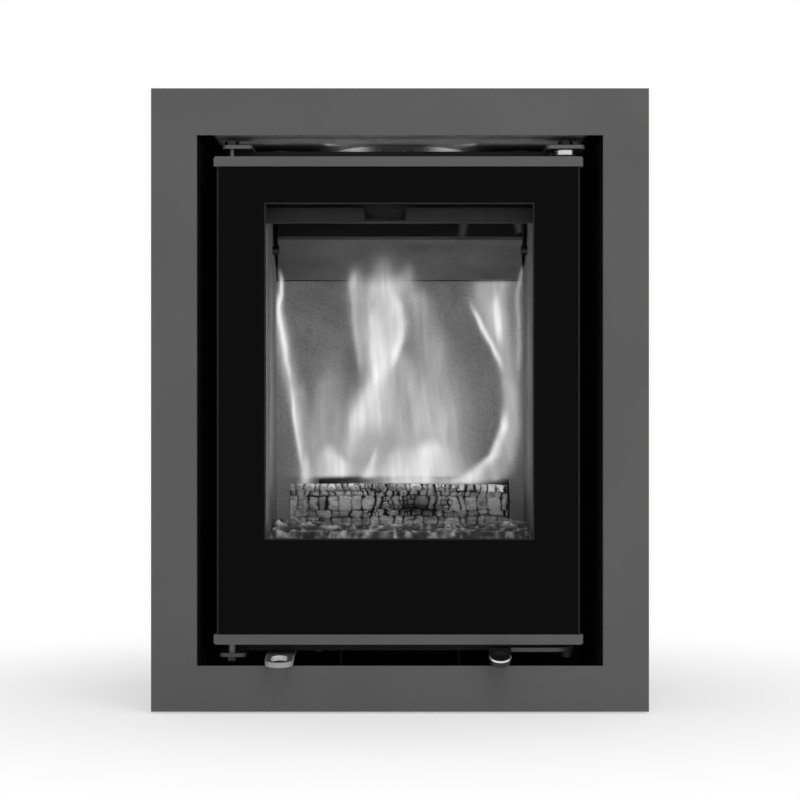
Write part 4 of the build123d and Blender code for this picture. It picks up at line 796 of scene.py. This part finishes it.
GLOW_TONGUES = [
    (0.97, 2.2, [(222, 14, 50), (236, 20, 44), (250, 28, 32), (266, 33, 20), (286, 36, 9)]),
    (0.85, 2.6, [(230, -66, 28), (246, -68, 22), (258, -74, 12), (280, -78, 4)]),
    (0.75, 2.0, [(229, -34, 9), (244, -30, 6), (258, -25, 4), (278, -20, 2)]),
    (0.55, 2.2, [(229, -8, 22), (252, -4, 14), (280, 4, 6)]),
    (0.7, 2.2, [(222, 66, 28), (234, 76, 14), (256, 92, 6)]),
    (0.7, 2.2, [(222, -100, 8), (240, -99, 6), (270, -100, 4)]),
]


def tongue_heat(x, z, strength, edge, steps, fade=26.0):
    """Heat of one tongue: strength * exp(-|u|^edge), where u is the distance from its middle over its half
    width at that height, both drawn through the steps; it fades in quickly from the logs, slowly higher up,
    and out towards its last step."""
    z_at, x_at, half = (np.array(column, float) for column in zip(*steps))
    middle = np.interp(z, z_at, x_at)
    width = np.interp(z, z_at, half)
    u = np.abs(x - middle) / width
    rise = QUICK_RISE if z_at[0] < LOW_START else SLOW_RISE
    lift = np.clip((z_at[-1] - z) / fade, 0, 1) * np.clip((z - z_at[0]) / rise, 0, 1)
    return strength * np.exp(-u ** edge) * lift * lift * (3 - 2 * lift)


def flame_sheet(name, at, tongues, seed):
    """A curtain of flame: x and z run over a grid in mm, depth = at + slow waves + a slight lean.
    Heat = 1 - product(1 - tongue), streaked along each tongue by noise that is long in z; faces with hardly
    any heat are left out."""
    step = 1.2
    spread, over = 2.2, 8                       # half widths drawn to either side; mm above the last step
    reach = [point for tongue in tongues for point in tongue[2]]
    x0 = max(-FLAME_SIDE, min(p[1] - spread * p[2] for p in reach))
    x1 = min(FLAME_SIDE, max(p[1] + spread * p[2] for p in reach))
    z0 = min(p[0] for p in reach)
    z1 = max(p[0] for p in reach) + over
    x, z = np.meshgrid(np.arange(x0, x1, step), np.arange(z0, z1, step), indexing="ij")
    warp_x = x + 7 * (layered(x / 30, z / 60, seed) - 0.5)
    cold = np.ones_like(x)
    hottest = 0.98
    for tongue in tongues:
        cold = cold * (1 - np.clip(tongue_heat(warp_x, z, *tongue), 0, hottest))
    lean = 0.12 * (x + 20) * np.clip((340 - z) / 110, 0, 1)
    streak = layered((warp_x - lean) / 6.5 + z / 110, z / 100, seed + 5, 3)
    veil = layered((warp_x - lean) / 19 - z / 120, z / 60, seed + 7)
    heat = (1 - cold) * (0.66 + 0.5 * streak) * (0.72 + 0.45 * veil)
    top_fade, side_fade = 14, 3
    heat = np.clip(heat, 0, 1) * np.clip((z1 - z) / top_fade, 0, 1)
    heat = heat * np.clip((FLAME_SIDE + 0.5 - np.abs(x)) / side_fade, 0, 1)
    sway, tilt = 10, 0.05
    y = depth(at) + MM * (sway * (layered(x / 50, z / 80, seed + 11) - 0.5) + tilt * (z - z0))
    points = np.stack([x * MM, y, z * MM], -1).reshape(-1, 3)
    quads = grid_faces(*x.shape)
    least_heat = 0.012
    quads = quads[heat.ravel()[quads].max(1) > least_heat]
    used, index = np.unique(quads, return_inverse=True)
    piece = lay_mesh(name, points[used], index.reshape(-1, 4), "root", "flame", None,
                     warmth=heat.ravel()[used])
    piece.visible_shadow = False


flame_sheet("flame_left", 176, LEFT_TONGUES, 1)
flame_sheet("flame_middle", 188, MIDDLE_TONGUES, 2)
flame_sheet("flame_right", 180, RIGHT_TONGUES, 3)
flame_sheet("flame_skirt", 228, SKIRT_TONGUES, 4)
flame_sheet("flame_glow", 150, GLOW_TONGUES, 6)


# ---- stage, light and camera ----------------------------------------------------------------------
SEEING_RAYS = ("Is Camera Ray", "Is Glossy Ray", "Is Transmission Ray")


def seen(f):
    """1 where a ray comes from the camera, from a reflection or through glass, else 0."""
    camera_ray, mirror_ray, glass_ray = (f.add("ShaderNodeLightPath", out=key) for key in SEEING_RAYS)
    return camera_ray.most(mirror_ray).most(glass_ray)


def stage_floor():
    """Pale floor that fades to white away from the object, so that no horizon shows."""
    f = Finish("studio_floor")
    far = f.add("ShaderNodeVectorMath", {"operation": "LENGTH"}, {0: f.place}, "Value")
    plain = f.add("ShaderNodeBsdfDiffuse", {}, {0: grey(246)})
    white = f.add("ShaderNodeEmission", {}, {0: grey(255), 1: 1.0})
    fade_from, fade_to = 0.2, 0.8               # metres from the point under the part's middle
    share = seen(f) * (0.5 + 0.5 * far.part(fade_from, fade_to))
    shader = f.add("ShaderNodeMixShader", {}, {0: share, 1: plain, 2: white})
    f.add("ShaderNodeOutputMaterial", {}, {0: shader})
    mesh = bpy.data.meshes.new("studio_floor")
    reach = 12.0
    mesh.from_pydata([(-reach, -reach, 0), (reach, -reach, 0), (reach, reach, 0), (-reach, reach, 0)], [],
                     [(0, 1, 2, 3)])
    mesh.materials.append(f.made)
    floor = bpy.data.objects.new("studio_floor", mesh)
    bpy.context.collection.objects.link(floor)


def studio_world():
    """White to the camera, in reflections and through glass, a softer light on everything else: strength =
    soft + (1 - soft) * seen."""
    f = Finish("studio", bpy.data.worlds)
    soft = 0.55
    back = f.add("ShaderNodeBackground", {}, {0: grey(255), 1: seen(f) * (1.0 - soft) + soft})
    f.add("ShaderNodeOutputWorld", {}, {0: back})
    bpy.context.scene.world = f.made


def edge_light(side, height):
    """A small spot lamp over the firebox that picks out one side of the flue collar."""
    lamp = bpy.data.lights.new("collar_light", "SPOT")
    lamp.energy = 0.05
    lamp.spot_size = radians(70)
    lamp.spot_blend = 1.0
    lamp.shadow_soft_size = 0.003
    holder = bpy.data.objects.new("collar_light", lamp)
    bpy.context.collection.objects.link(holder)
    off_middle, turned_in = 0.082, 32
    holder.location = (side * off_middle, depth(88), height)
    holder.rotation_euler = (radians(90), 0, side * radians(turned_in))
    holder.visible_camera = holder.visible_glossy = False


def soft_lamp(name, at, aim, size, power, size_y=None):
    """A soft light at a point, square or size by size_y, turned to face another."""
    lamp = bpy.data.lights.new(name, "AREA")
    lamp.size = size
    if size_y:
        lamp.shape = "RECTANGLE"
        lamp.size_y = size_y
    lamp.energy = power
    holder = bpy.data.objects.new(name, lamp)
    bpy.context.collection.objects.link(holder)
    holder.location = at
    way = np.array(aim, float) - np.array(at, float)
    pitch = np.arctan2(np.hypot(way[0], way[1]), -way[2])
    holder.rotation_euler = (pitch, 0, np.arctan2(-way[0], way[1]))
    holder.visible_camera = holder.visible_glossy = False


stage_floor()
studio_world()
soft_lamp("key_light", (0.35, -1.7, 2.3), (0, 0, 0.35), 1.4, 21)
soft_lamp("fill_light", (1.7, -2.3, 1.0), (0, 0, 0.3), 1.4, 10)
gap_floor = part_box("firebox_top")[1][2] + 0.001     # just over the firebox, in the upper gap
gap_middle, gap_lamp_up = depth(72), 0.0065
soft_lamp("gap_light", (0.0, gap_middle, gap_floor), (0.0, gap_middle, gap_floor + 1.0), 0.36, 0.018, 0.052)
for side in (-1, 1):
    edge_light(side, gap_floor + gap_lamp_up)

FIRE_HEIGHT = 0.31
GLOW_FROM, GLOW_AIM = depth(128), depth(300)    # the fire's glow falls from the first towards the second
soft_lamp("fire_glow", (0.0, GLOW_FROM, FIRE_HEIGHT), (0.0, GLOW_AIM, FIRE_HEIGHT), 0.22, 0.115, 0.2)

CAMERA_AWAY = 2.5                               # camera to the frame's face
EYE_HEIGHT = 0.315
PIXEL = 1.004 * MM                              # size of a pixel at the frame's face
PICTURE = 800                                   # pixels across
SENSOR = 36.0
camera = bpy.data.cameras.new("camera")
camera.sensor_width = SENSOR
camera.lens = SENSOR * CAMERA_AWAY / (PICTURE * PIXEL)
view = bpy.data.objects.new("camera", camera)
bpy.context.collection.objects.link(view)
view.location = (0.0, FRONT_Y - CAMERA_AWAY, EYE_HEIGHT)
view.rotation_euler = (radians(90), 0, 0)
bpy.context.scene.camera = view
bpy.context.scene.view_settings.view_transform = "Standard"
